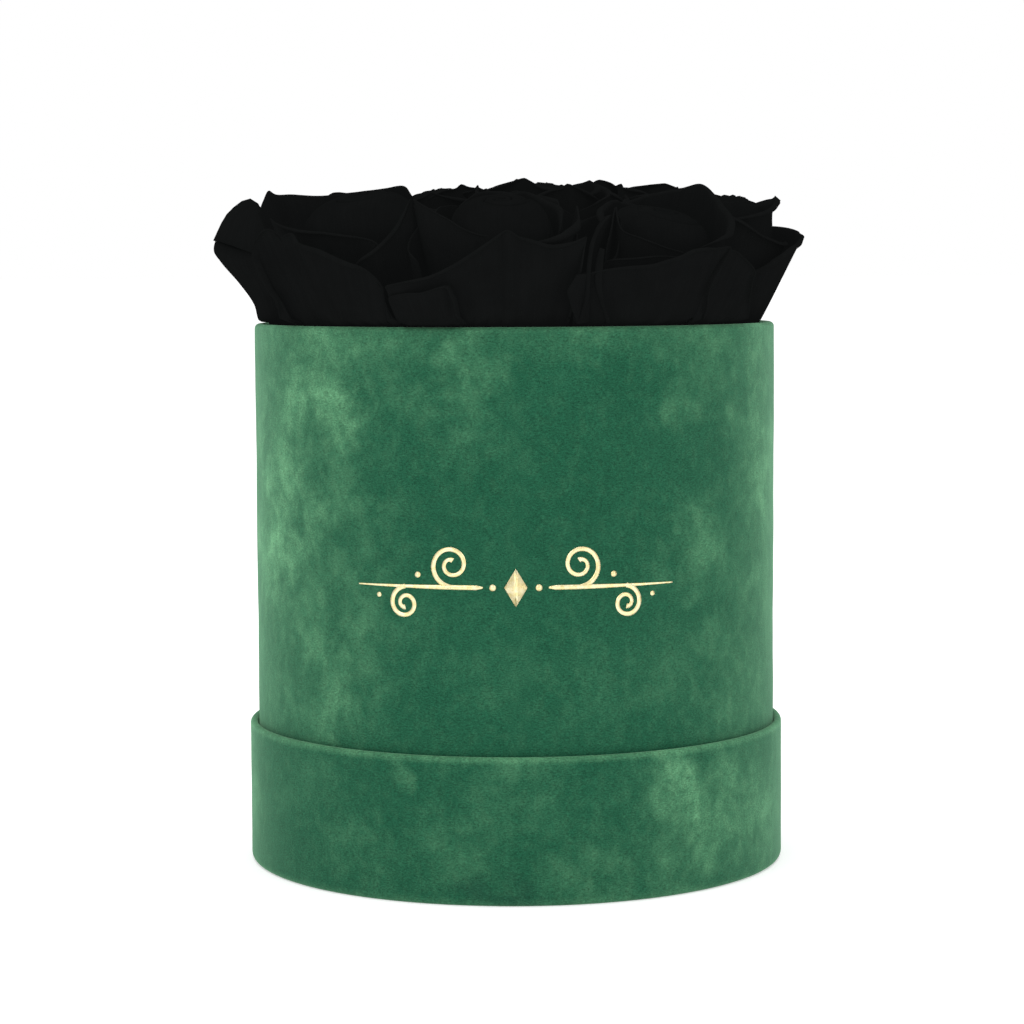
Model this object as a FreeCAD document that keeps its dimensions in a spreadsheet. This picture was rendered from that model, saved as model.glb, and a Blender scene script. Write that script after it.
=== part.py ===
"""Round velvet-covered flower box, standing in its own upturned lid, filled with roses set in dry floral foam.

Frame: millimetres, +Z up, origin at the centre of the underside of the lid, which is what the object stands on.
The front of the box faces -Y. Azimuths of the roses are counted from the front (-Y) towards +X.
"""

import FreeCAD, Part
import math
import os
import Sketcher

from FreeCAD import Vector

doc = FreeCAD.newDocument("flower_box")

# ---------------------------------------------------------------------------
# Driving dimensions
# ---------------------------------------------------------------------------
ROWS = [
    # cloth, board and paper
    ("velvet_t", 0.5, "velvet with its backing and glue"),
    ("paper_t", 0.25, "lining paper"),
    ("wall_t", 2.0, "grey board of the box wall"),
    ("base_t", 2.0, "grey board of the box floor"),
    ("lid_wall_t", 1.3, "grey board of the lid's skirt"),
    ("lid_top_t", 2.0, "grey board of the lid's top"),
    # box
    ("box_r", 80.0, "radius over the velvet"),
    ("rim_z", 165.4, "top of the rim above the table"),
    ("rim_flap", 18.0, "velvet turned down inside the rim"),
    ("rim_round", 1.45, "rounding of the velvet over the rim"),
    ("rim_core_round", 0.95, "rounding of the board's rim"),
    ("under_r", 66.0, "where the velvet turned under the floor ends"),
    ("foot_round", 1.5, "rounding of the velvet under the box"),
    ("foot_core_round", 1.0, "rounding of the board's foot"),
    ("seat_gap", 0.05, "air between the box and the lid's floor"),
    # lid
    ("fit_gap", 0.35, "radial air between the box and the lid"),
    ("lid_high", 43.1, "height of the lid"),
    ("lid_flap", 14.0, "velvet turned down inside the lid"),
    ("lid_rim_round", 1.1, "rounding of the velvet over the lid's rim"),
    ("lid_core_round", 0.6, "rounding of the lid board's rim"),
    ("lid_foot_round", 1.6, "rounding of the lid's lower edge"),
    ("lid_foot_core", 1.1, "rounding of the board at that edge"),
    # foam
    ("foam_gap", 0.25, "radial air round the foam"),
    ("foam_split", 70.5, "joint between the two foam discs"),
    ("foam_top", 135.5, "top of the foam"),
    # roses: s is the distance along a rose's own axis, from the foot of its calyx
    ("stem_r", 2.5, "radius of a stem"),
    ("stem_len", 45.0, "stem below the calyx"),
    ("stem_air", 0.05, "radial air in the foam's holes"),
    ("calyx_foot", 3.4, "radius at the foot of the calyx"),
    ("calyx_wide", 6.4, "widest radius of the calyx"),
    ("calyx_mid", 3.6, "s of the calyx's widest point"),
    ("calyx_neck", 5.0, "radius where the petals begin"),
    ("bloom_sa", 8.0, "s where the petals begin"),
    ("bloom_sb", 20.0, ""),
    ("bloom_sc", 34.0, "s level with the box's rim"),
    ("bloom_sd", 45.0, ""),
    ("bloom_se", 55.0, "s where the bloom is widest"),
    ("bloom_sf", 61.0, "s of the petals' rim"),
    ("bloom_sg", 66.0, ""),
    ("bloom_sh", 67.5, "top of the bud"),
    ("outer_ra", 5.5, "outer roses: radii at those places"),
    ("outer_rb", 11.5, ""),
    ("outer_rc", 17.0, ""),
    ("outer_rd", 20.8, ""),
    ("outer_re", 23.5, ""),
    ("outer_rg", 14.5, ""),
    ("inner_ra", 5.0, "inner roses: radii at those places"),
    ("inner_rb", 9.5, ""),
    ("inner_rc", 14.0, ""),
    ("inner_rd", 17.0, ""),
    ("inner_re", 19.0, ""),
    ("inner_rg", 11.5, ""),
    ("outer_base_r", 50.0, "calyx foot of an outer rose, from the axis"),
    ("outer_base_z", 137.6, "and above the table"),
    ("outer_tilt", 17.0, "lean outwards, degrees"),
    ("inner_base_r", 17.5, "calyx foot of an inner rose, from the axis"),
    ("inner_base_z", 142.0, "and above the table"),
    ("inner_tilt", 5.0, "lean outwards, degrees"),
    ("az_front", -3.5, "azimuths of the roses, degrees"),
    ("az_front_right", 40.5, ""),
    ("az_right", 86.0, ""),
    ("az_back_right", 132.0, ""),
    ("az_back", 178.0, ""),
    ("az_back_left", 224.5, ""),
    ("az_left", 269.0, ""),
    ("az_front_left", 313.5, ""),
    ("az_middle_front", 22.0, ""),
    ("az_middle_back", 142.0, ""),
    ("az_middle_left", 262.0, ""),
]

sheet = doc.addObject("Spreadsheet::Sheet", "Dims")
for row, (alias, value, note) in enumerate(ROWS, start=1):
    sheet.set(f"A{row}", alias)
    sheet.set(f"B{row}", str(value))
    sheet.setAlias(f"B{row}", alias)
    if note:
        sheet.set(f"C{row}", note)
doc.recompute()


class Dim:
    """A length that knows its value now and the sheet expression that drives it."""

    def __init__(self, value, text):
        self.value, self.text = float(value), text

    @staticmethod
    def of(x):
        return x if isinstance(x, Dim) else Dim(x, repr(float(x)))

    def __add__(self, o):
        o = Dim.of(o)
        return Dim(self.value + o.value, f"({self.text} + {o.text})")

    def __sub__(self, o):
        o = Dim.of(o)
        return Dim(self.value - o.value, f"({self.text} - {o.text})")

    def __mul__(self, o):
        o = Dim.of(o)
        return Dim(self.value * o.value, f"({self.text} * {o.text})")

    def __neg__(self):
        return Dim(-self.value, f"(-{self.text})")


def cell(alias):
    return Dim(sheet.get(alias), f"Dims.{alias}")


def sin(angle):
    return Dim(math.sin(math.radians(angle.value)), f"sin({angle.text})")


def cos(angle):
    return Dim(math.cos(math.radians(angle.value)), f"cos({angle.text})")


ZERO = Dim(0, "0")
made = []  # every sub-part, in the order in which it is made


def subpart(obj, label):
    obj.Label = label
    made.append(obj)
    return obj


def drive(obj, prop, dim):
    setattr(obj, prop, dim.value)
    obj.setExpression(prop, dim.text)


def lift(obj, z):
    """Drives the height at which an object stands."""
    obj.setExpression("Placement.Base.z", z.text)


def origin_plane(body, role):
    return next(f for f in body.Origin.OriginFeatures if f.Role == role)


def new_sketch(body, name, role):
    sketch = body.newObject("Sketcher::SketchObject", name)
    sketch.AttachmentSupport = [(origin_plane(body, role), "")]
    sketch.MapMode = "FlatFace"
    return sketch


def named(sketch, constraint, name, dim):
    index = sketch.addConstraint(constraint)
    sketch.renameConstraint(index, name)
    sketch.setExpression(f"Constraints.{name}", dim.text)


def circles(sketch, radii):
    """Concentric circles about the sketch's origin."""
    for i, r in enumerate(radii):
        sketch.addGeometry(Part.Circle(Vector(0, 0, 0), Vector(0, 0, 1), r.value), False)
        sketch.addConstraint(Sketcher.Constraint("Coincident", i, 3, -1, 1))
        named(sketch, Sketcher.Constraint("Radius", i, r.value), f"radius_{i}", r)


def outline(sketch, points):
    """A closed polygon of (radius, height) corners, each one driven."""
    n = len(points)
    for i in range(n):
        (x0, y0), (x1, y1) = points[i], points[(i + 1) % n]
        sketch.addGeometry(
            Part.LineSegment(
                Vector(x0.value, y0.value, 0), Vector(x1.value, y1.value, 0)
            ),
            False,
        )
    for i in range(n):
        sketch.addConstraint(Sketcher.Constraint("Coincident", i, 2, (i + 1) % n, 1))
    for i, (x, y) in enumerate(points):
        if x is ZERO:
            sketch.addConstraint(Sketcher.Constraint("PointOnObject", i, 1, -2))
        else:
            named(
                sketch,
                Sketcher.Constraint("DistanceX", -1, 1, i, 1, x.value),
                f"radius_{i}",
                x,
            )
        if y is ZERO:
            sketch.addConstraint(Sketcher.Constraint("PointOnObject", i, 1, -1))
        else:
            named(
                sketch,
                Sketcher.Constraint("DistanceY", -1, 1, i, 1, y.value),
                f"height_{i}",
                y,
            )


def pad_body(label, radii, z, height):
    """A disc, or a ring where two radii are given, padded up from height z."""
    body = doc.addObject("PartDesign::Body", label)
    sketch = new_sketch(body, label + "_outline", "XY_Plane")
    circles(sketch, radii)
    pad = body.newObject("PartDesign::Pad", label + "_pad")
    pad.Profile = sketch
    drive(pad, "Length", height)
    body.Tip = pad
    lift(body, z)
    doc.recompute()
    return subpart(body, label)


def turned_body(label, points):
    """A solid of revolution about Z of a closed outline of (radius, height) corners."""
    body = doc.addObject("PartDesign::Body", label)
    sketch = new_sketch(body, label + "_outline", "XZ_Plane")
    outline(sketch, points)
    turn = body.newObject("PartDesign::Revolution", label + "_turn")
    turn.Profile = sketch
    turn.ReferenceAxis = (sketch, ["V_Axis"])
    turn.Angle = 360
    body.Tip = turn
    doc.recompute()
    return subpart(body, label)


def round_edges(body, name, corners, radius):
    """Rounds the circular edges that run through the given (radius, height) corners, in the body's own frame."""
    base = body.Tip
    found = []
    for i, edge in enumerate(base.Shape.Edges, start=1):
        if not isinstance(edge.Curve, Part.Circle):
            continue
        r, z = edge.Curve.Radius, edge.Curve.Center.z
        if any(abs(r - a.value) < 1e-4 and abs(z - b.value) < 1e-4 for a, b in corners):
            found.append(f"Edge{i}")
    if len(found) != len(corners):
        raise RuntimeError(f"{body.Label}: {len(found)} of {len(corners)} edges found")
    before = base.Shape.Volume
    fillet = body.newObject("PartDesign::Fillet", name)
    fillet.Base = (base, found)
    drive(fillet, "Radius", radius)
    body.Tip = fillet
    doc.recompute()
    if abs(fillet.Shape.Volume - before) < 1e-6:
        raise RuntimeError(f"{name} rounded nothing")


# ---------------------------------------------------------------------------
# Radii and heights that several pieces share
# ---------------------------------------------------------------------------
velvet, paper = cell("velvet_t"), cell("paper_t")

box_r = cell("box_r")
box_core_r = box_r - velvet  # outside of the board
box_bore_r = box_core_r - cell("wall_t")  # inside of the board
box_flap_r = box_bore_r - velvet  # inside of the turned-down velvet
rim_z = cell("rim_z")
flap_z = rim_z - cell("rim_flap")

lid_flap_r = box_r + cell("fit_gap")
lid_bore_r = lid_flap_r + velvet
lid_core_r = lid_bore_r + cell("lid_wall_t")
lid_r = lid_core_r + velvet
lid_high = cell("lid_high")
lid_flap_z = lid_high - cell("lid_flap")
lid_floor_z = velvet + cell("lid_top_t")  # upper face of the lid's top board
seat_z = lid_floor_z + paper

foot_z = seat_z + cell("seat_gap")  # underside of the box
board_z = foot_z + velvet
floor_z = board_z + cell("base_t")
lined_z = floor_z + paper

# ---------------------------------------------------------------------------
# The lid, upturned under the box
# ---------------------------------------------------------------------------
pad_body("lid_top_velvet", [lid_bore_r], ZERO, velvet)
pad_body("lid_top_board", [lid_bore_r], velvet, cell("lid_top_t"))

skirt = pad_body("lid_skirt_board", [lid_core_r, lid_bore_r], velvet, lid_high - velvet * 2)
skirt_top = lid_high - velvet * 2
round_edges(skirt, "lid_board_rim", [(lid_core_r, skirt_top), (lid_bore_r, skirt_top)], cell("lid_core_round"))
round_edges(skirt, "lid_board_foot", [(lid_core_r, ZERO)], cell("lid_foot_core"))

wrap = turned_body(
    "lid_skirt_velvet",
    [
        (lid_bore_r, ZERO),
        (lid_r, ZERO),
        (lid_r, lid_high),
        (lid_flap_r, lid_high),
        (lid_flap_r, lid_flap_z),
        (lid_bore_r, lid_flap_z),
        (lid_bore_r, lid_high - velvet),
        (lid_core_r, lid_high - velvet),
        (lid_core_r, velvet),
        (lid_bore_r, velvet),
    ],
)
round_edges(wrap, "lid_velvet_rim", [(lid_r, lid_high), (lid_flap_r, lid_high)], cell("lid_rim_round"))
round_edges(
    wrap,
    "lid_velvet_rim_inside",
    [(lid_core_r, lid_high - velvet), (lid_bore_r, lid_high - velvet)],
    cell("lid_core_round"),
)
round_edges(wrap, "lid_velvet_foot", [(lid_r, ZERO)], cell("lid_foot_round"))
round_edges(wrap, "lid_velvet_foot_inside", [(lid_core_r, velvet)], cell("lid_foot_core"))

pad_body("lid_lining_disc", [lid_bore_r], lid_floor_z, paper)
pad_body("lid_lining_band", [lid_bore_r, lid_bore_r - paper], seat_z, lid_flap_z - seat_z)

# ---------------------------------------------------------------------------
# The box
# ---------------------------------------------------------------------------
pad_body("box_base_cover", [cell("under_r")], foot_z, velvet)
pad_body("box_base_board", [box_bore_r], board_z, cell("base_t"))

wall = pad_body("box_wall_board", [box_core_r, box_bore_r], board_z, rim_z - velvet - board_z)
wall_top = rim_z - velvet - board_z
round_edges(wall, "box_board_rim", [(box_core_r, wall_top), (box_bore_r, wall_top)], cell("rim_core_round"))
round_edges(wall, "box_board_foot", [(box_core_r, ZERO)], cell("foot_core_round"))

wrap = turned_body(
    "box_velvet_wrap",
    [
        (cell("under_r"), foot_z),
        (box_r, foot_z),
        (box_r, rim_z),
        (box_flap_r, rim_z),
        (box_flap_r, flap_z),
        (box_bore_r, flap_z),
        (box_bore_r, rim_z - velvet),
        (box_core_r, rim_z - velvet),
        (box_core_r, board_z),
        (cell("under_r"), board_z),
    ],
)
round_edges(wrap, "box_velvet_rim", [(box_r, rim_z), (box_flap_r, rim_z)], cell("rim_round"))
round_edges(
    wrap,
    "box_velvet_rim_inside",
    [(box_core_r, rim_z - velvet), (box_bore_r, rim_z - velvet)],
    cell("rim_core_round"),
)
round_edges(wrap, "box_velvet_foot", [(box_r, foot_z)], cell("foot_round"))
round_edges(wrap, "box_velvet_foot_inside", [(box_core_r, board_z)], cell("foot_core_round"))

pad_body("box_lining_disc", [box_bore_r], floor_z, paper)
pad_body("box_lining_band", [box_bore_r, box_bore_r - paper], lined_z, flap_z - lined_z)

# ---------------------------------------------------------------------------
# The roses: stem, calyx and bloom on one axis, leaning outwards
# ---------------------------------------------------------------------------
ROSES = [
    ("front_rose", "outer", "az_front"),
    ("front_right_rose", "outer", "az_front_right"),
    ("right_rose", "outer", "az_right"),
    ("back_right_rose", "outer", "az_back_right"),
    ("back_rose", "outer", "az_back"),
    ("back_left_rose", "outer", "az_back_left"),
    ("left_rose", "outer", "az_left"),
    ("front_left_rose", "outer", "az_front_left"),
    ("middle_front_rose", "inner", "az_middle_front"),
    ("middle_back_rose", "inner", "az_middle_back"),
    ("middle_left_rose", "inner", "az_middle_left"),
]


def on_axis(obj, kind, azimuth, s):
    """Stands an object's own +Z axis on a rose's axis, with its origin at distance s along it."""
    tilt, az = cell(kind + "_tilt"), cell(azimuth)
    reach = cell(kind + "_base_r") + s * sin(tilt)
    x, y = reach * sin(az), -(reach * cos(az))
    z = cell(kind + "_base_z") + s * cos(tilt)
    obj.setExpression(
        "Placement",
        f"placement(vector({x.text}; {y.text}; {z.text}); rotation(vector({cos(az).text}; {sin(az).text}; 0); {tilt.text}))",
    )


holes = []
for name, kind, azimuth in ROSES:
    stem = doc.addObject("Part::Cylinder", name + "_stem")
    drive(stem, "Radius", cell("stem_r"))
    drive(stem, "Height", cell("stem_len"))
    on_axis(stem, kind, azimuth, -cell("stem_len"))
    subpart(stem, name + "_stem")

    calyx = turned_body(
        name + "_calyx",
        [
            (ZERO, ZERO),
            (cell("calyx_foot"), ZERO),
            (cell("calyx_wide"), cell("calyx_mid")),
            (cell("calyx_neck"), cell("bloom_sa")),
            (ZERO, cell("bloom_sa")),
        ],
    )
    on_axis(calyx, kind, azimuth, ZERO)

    bloom = turned_body(
        name + "_bloom",
        [
            (ZERO, cell("bloom_sa")),
            (cell(kind + "_ra"), cell("bloom_sa")),
            (cell(kind + "_rb"), cell("bloom_sb")),
            (cell(kind + "_rc"), cell("bloom_sc")),
            (cell(kind + "_rd"), cell("bloom_sd")),
            (cell(kind + "_re"), cell("bloom_se")),
            (cell(kind + "_re"), cell("bloom_sf")),
            (cell(kind + "_rg"), cell("bloom_sg")),
            (ZERO, cell("bloom_sh")),
        ],
    )
    on_axis(bloom, kind, azimuth, ZERO)

    hole = doc.addObject("Part::Cylinder", name + "_hole")
    drive(hole, "Radius", cell("stem_r") + cell("stem_air"))
    drive(hole, "Height", cell("stem_len") + 16)
    on_axis(hole, kind, azimuth, -(cell("stem_len") + 1))
    holes.append(hole)

# ---------------------------------------------------------------------------
# The foam: two discs, the upper one pierced by the stems
# ---------------------------------------------------------------------------
foam_r = box_bore_r - paper - cell("foam_gap")
lower = doc.addObject("Part::Cylinder", "lower_foam")
drive(lower, "Radius", foam_r)
drive(lower, "Height", cell("foam_split") - lined_z)
lift(lower, lined_z)
subpart(lower, "lower_foam")

block = doc.addObject("Part::Cylinder", "upper_foam_block")
drive(block, "Radius", foam_r)
drive(block, "Height", cell("foam_top") - cell("foam_split"))
lift(block, cell("foam_split"))
stem_holes = doc.addObject("Part::MultiFuse", "stem_holes")
stem_holes.Shapes = holes
upper = doc.addObject("Part::Cut", "upper_foam")
upper.Base, upper.Tool = block, stem_holes
subpart(upper, "upper_foam")

# ---------------------------------------------------------------------------
# Check and write
# ---------------------------------------------------------------------------
doc.recompute()
for obj in doc.Objects:
    if "Invalid" in obj.State or "Error" in obj.State:
        raise RuntimeError(f"{obj.Label} did not recompute: {obj.State}")

pierced = block.Shape.Volume - upper.Shape.Volume
if pierced < 11 * 0.8 * math.pi * 2.5**2 * 38:
    raise RuntimeError(f"the stem holes took only {pierced:.0f} mm3 out of the foam")

os.makedirs("parts", exist_ok=True)
for old in os.listdir("parts"):
    if old.endswith(".step"):
        os.remove(os.path.join("parts", old))
for obj in made:
    shape = obj.Shape
    if shape.isNull() or not shape.isValid() or len(shape.Solids) != 1:
        raise RuntimeError(f"{obj.Label} is not one valid solid")
    shape.exportStep(f"parts/{obj.Label}.step")
print(f"{len(made)} sub-parts written")
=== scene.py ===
"""Looks of a round velvet flower box that stands in its own upturned lid and is filled with dark roses."""

import math

import bmesh
import bpy
import numpy as np
from mathutils import Matrix, Vector


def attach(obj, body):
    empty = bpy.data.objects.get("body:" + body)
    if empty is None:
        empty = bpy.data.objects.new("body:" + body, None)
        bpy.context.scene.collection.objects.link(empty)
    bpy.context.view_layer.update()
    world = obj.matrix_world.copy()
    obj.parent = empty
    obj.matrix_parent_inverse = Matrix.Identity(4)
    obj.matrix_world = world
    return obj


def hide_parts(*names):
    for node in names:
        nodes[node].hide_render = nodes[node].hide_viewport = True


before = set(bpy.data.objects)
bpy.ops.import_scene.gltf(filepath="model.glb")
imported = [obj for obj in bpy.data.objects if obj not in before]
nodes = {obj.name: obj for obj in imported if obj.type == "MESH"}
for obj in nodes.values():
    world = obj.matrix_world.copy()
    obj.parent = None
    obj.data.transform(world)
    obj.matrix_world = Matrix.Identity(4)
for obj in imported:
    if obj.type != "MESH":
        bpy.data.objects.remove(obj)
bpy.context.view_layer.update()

scene = bpy.context.scene

# ---------------------------------------------------------------------------
# Sizes, in millimetres, as in the CAD frame
# ---------------------------------------------------------------------------
BOX_R, RIM_Z, FOOT_Z = 80.0, 165.4, 2.8
LID_R, LID_Z = 82.65, 43.1
ROSES = {
    # name: (kind, azimuth from the front towards +X)
    "front_rose": ("outer", -3.5),
    "front_right_rose": ("outer", 40.5),
    "right_rose": ("outer", 86.0),
    "back_right_rose": ("outer", 132.0),
    "back_rose": ("outer", 178.0),
    "back_left_rose": ("outer", 224.5),
    "left_rose": ("outer", 269.0),
    "front_left_rose": ("outer", 313.5),
    "middle_front_rose": ("inner", 22.0),
    "middle_back_rose": ("inner", 142.0),
    "middle_left_rose": ("inner", 262.0),
}
STANCE = {"outer": (50.0, 137.6, 17.0), "inner": (17.5, 142.0, 5.0)}  # radius, height, lean


# ---------------------------------------------------------------------------
# Mesh helpers
# ---------------------------------------------------------------------------
def new_piece(name, verts_mm, faces, attributes=None, tidy=True):
    mesh = bpy.data.meshes.new(name)
    mesh.from_pydata((np.asarray(verts_mm, float) * 0.001).tolist(), [], faces)
    for key, values in (attributes or {}).items():
        layer = mesh.attributes.new(key, "FLOAT", "POINT")
        layer.data.foreach_set("value", np.asarray(values, np.float32).ravel())
    if tidy:
        bm = bmesh.new()
        bm.from_mesh(mesh)
        bmesh.ops.recalc_face_normals(bm, faces=bm.faces)
        bm.to_mesh(mesh)
        bm.free()
    mesh.polygons.foreach_set("use_smooth", [True] * len(mesh.polygons))
    mesh.update()
    obj = bpy.data.objects.new(name, mesh)
    scene.collection.objects.link(obj)
    return obj


def ring_faces(n, m):
    """Quads of a closed loop of m points swept round n stations."""
    faces = []
    for i in range(n):
        j = (i + 1) % n
        for k in range(m):
            q = (k + 1) % m
            faces.append((i * m + k, j * m + k, j * m + q, i * m + q))
    return faces


def arc(cx, cz, r, a0, a1, n):
    a = np.radians(np.linspace(a0, a1, n))
    return [(cx + r * math.cos(t), cz + r * math.sin(t)) for t in a]


def run(p, q, n):
    """n points from p towards q, q left out."""
    return [(p[0] + (q[0] - p[0]) * i / n, p[1] + (q[1] - p[1]) * i / n) for i in range(n)]


def sines(seed, count, low, high):
    """A smooth wandering function of an angle and a height, about -1 to 1, that closes round the circle."""
    rng = np.random.default_rng(seed)
    k = rng.integers(low, high + 1, count)
    m = rng.uniform(-1, 1, count) * high / 60.0
    p = rng.uniform(0, 2 * np.pi, count)
    a = rng.uniform(0.5, 1.0, count)
    a /= a.sum() * 0.6

    def f(theta, z):
        return sum(a[i] * np.sin(k[i] * theta + m[i] * z + p[i]) for i in range(count))

    return f


# ---------------------------------------------------------------------------
# Node helpers
# ---------------------------------------------------------------------------
class Tree:
    """A material's node tree with short calls."""

    def __init__(self, name):
        self.material = bpy.data.materials.new(name)
        self.material.use_nodes = True
        self.t = self.material.node_tree
        self.t.nodes.clear()
        self.out = self.t.nodes.new("ShaderNodeOutputMaterial")
        self.bsdf = self.t.nodes.new("ShaderNodeBsdfPrincipled")
        self.t.links.new(self.bsdf.outputs["BSDF"], self.out.inputs["Surface"])
        self.coord = self.t.nodes.new("ShaderNodeTexCoord").outputs["Object"]

    def link(self, a, b):
        self.t.links.new(a, b)

    def put(self, socket, value):
        if isinstance(value, bpy.types.NodeSocket):
            self.link(value, socket)
        else:
            socket.default_value = value

    def const(self, **values):
        for key, value in values.items():
            self.bsdf.inputs[key.replace("_", " ")].default_value = value

    def math(self, op, a, b=0.0, clamp=False):
        n = self.t.nodes.new("ShaderNodeMath")
        n.operation, n.use_clamp = op, clamp
        self.put(n.inputs[0], a)
        self.put(n.inputs[1], b)
        return n.outputs[0]

    def vmath(self, op, a, b):
        n = self.t.nodes.new("ShaderNodeVectorMath")
        n.operation = op
        self.put(n.inputs[0], a)
        if op == "SCALE":
            self.put(n.inputs["Scale"], b)
        else:
            self.put(n.inputs[1], b)
        return n.outputs["Value"] if op in ("DISTANCE", "LENGTH", "DOT_PRODUCT") else n.outputs["Vector"]

    def noise(self, vector, scale, detail=2.0, rough=0.5, distortion=0.0, colour=False):
        n = self.t.nodes.new("ShaderNodeTexNoise")
        self.put(n.inputs["Vector"], vector)
        n.inputs["Scale"].default_value = scale
        n.inputs["Detail"].default_value = detail
        n.inputs["Roughness"].default_value = rough
        n.inputs["Distortion"].default_value = distortion
        return n.outputs["Color"] if colour else n.outputs[0]

    def voronoi(self, vector, scale, feature="F1"):
        n = self.t.nodes.new("ShaderNodeTexVoronoi")
        n.feature = feature
        self.put(n.inputs["Vector"], vector)
        n.inputs["Scale"].default_value = scale
        return n.outputs["Distance"]

    def span(self, value, lo, hi, to_lo=0.0, to_hi=1.0, smooth=True):
        n = self.t.nodes.new("ShaderNodeMapRange")
        n.interpolation_type = "SMOOTHSTEP" if smooth else "LINEAR"
        self.put(n.inputs["Value"], value)
        n.inputs["From Min"].default_value = lo
        n.inputs["From Max"].default_value = hi
        n.inputs["To Min"].default_value = to_lo
        n.inputs["To Max"].default_value = to_hi
        return n.outputs["Result"]

    def mix(self, factor, a, b, blend="MIX"):
        n = self.t.nodes.new("ShaderNodeMix")
        n.data_type, n.blend_type = "RGBA", blend
        self.put(n.inputs["Factor"], factor)
        self.put(n.inputs[6], a)
        self.put(n.inputs[7], b)
        return n.outputs[2]

    def mapping(self, vector, scale):
        n = self.t.nodes.new("ShaderNodeMapping")
        self.put(n.inputs["Vector"], vector)
        n.inputs["Scale"].default_value = scale
        return n.outputs["Vector"]

    def attribute(self, name):
        n = self.t.nodes.new("ShaderNodeAttribute")
        n.attribute_name = name
        return n.outputs["Fac"]

    def xyz(self, x, y, z):
        n = self.t.nodes.new("ShaderNodeCombineXYZ")
        for i, value in enumerate((x, y, z)):
            self.put(n.inputs[i], value)
        return n.outputs[0]

    def bump(self, height, distance, strength=1.0):
        n = self.t.nodes.new("ShaderNodeBump")
        n.inputs["Distance"].default_value = distance
        n.inputs["Strength"].default_value = strength
        self.put(n.inputs["Height"], height)
        self.link(n.outputs["Normal"], self.bsdf.inputs["Normal"])


def srgb(r, g, b):
    def f(c):
        c /= 255.0
        return c / 12.92 if c <= 0.04045 else ((c + 0.055) / 1.055) ** 2.4

    return (f(r), f(g), f(b), 1.0)


def cover(obj, material):
    obj.data.materials.clear()
    obj.data.materials.append(material)
    return obj


# ---------------------------------------------------------------------------
# Materials
# ---------------------------------------------------------------------------
# Where the nap is brushed up and looks paler: azimuth and height on the surface, radius in mm, strength. The four
# broad, faint patches at the end of the box's list are painted sheen that lightens its left and right sides.
BOX_NAP_AND_SHEEN = [
    (-41, 141, 8, 0.5), (-54, 147, 10, 0.35), (-63, 121, 12, 0.35), (-67, 98, 12, 0.35), (-47, 157, 9, 0.3),
    (-30, 155, 13, 0.12), (-9, 153, 8, 0.27), (-12, 134, 13, 0.08), (-22, 140, 9, 0.06), (38, 147, 8, 0.21),
    (47, 157, 8, 0.3), (66, 151, 10, 0.35), (51, 137, 6, 0.25), (68, 124, 14, 0.4), (42, 100, 11, 0.25),
    (34, 64, 11, 0.11), (56, 55, 12, 0.22), (49, 73, 9, 0.13), (-43, 65, 14, 0.15), (-28, 77, 11, 0.08),
    (34, 163, 4, 0.08), (15, 163, 4, 0.2), (-36, 163, 5, 0.25), (-62, 125, 30, 0.2), (-58, 70, 28, 0.15), (-46, 105, 22, 0.1), (74, 100, 26, 0.18),
]
LID_NAP = [
    (-76, 22, 9, 0.18), (-22, 38, 4, 0.25), (-12, 15, 11, 0.14), (-1, 38, 12, 0.14), (15, 9, 9, 0.2),
    (38, 18, 14, 0.33), (34, 33, 9, 0.25), (36, 41, 6, 0.45), (62, 18, 12, 0.36), (50, 33, 10, 0.3), (-32, 14, 10, 0.08),
]


# Darker spots near the lower edge of the lid at the front: painted shade, given like the patches above.
LID_SHADE_SPOTS = [(-8, 4, 4.5, 0.42), (-1, 3.5, 4, 0.45)]


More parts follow.
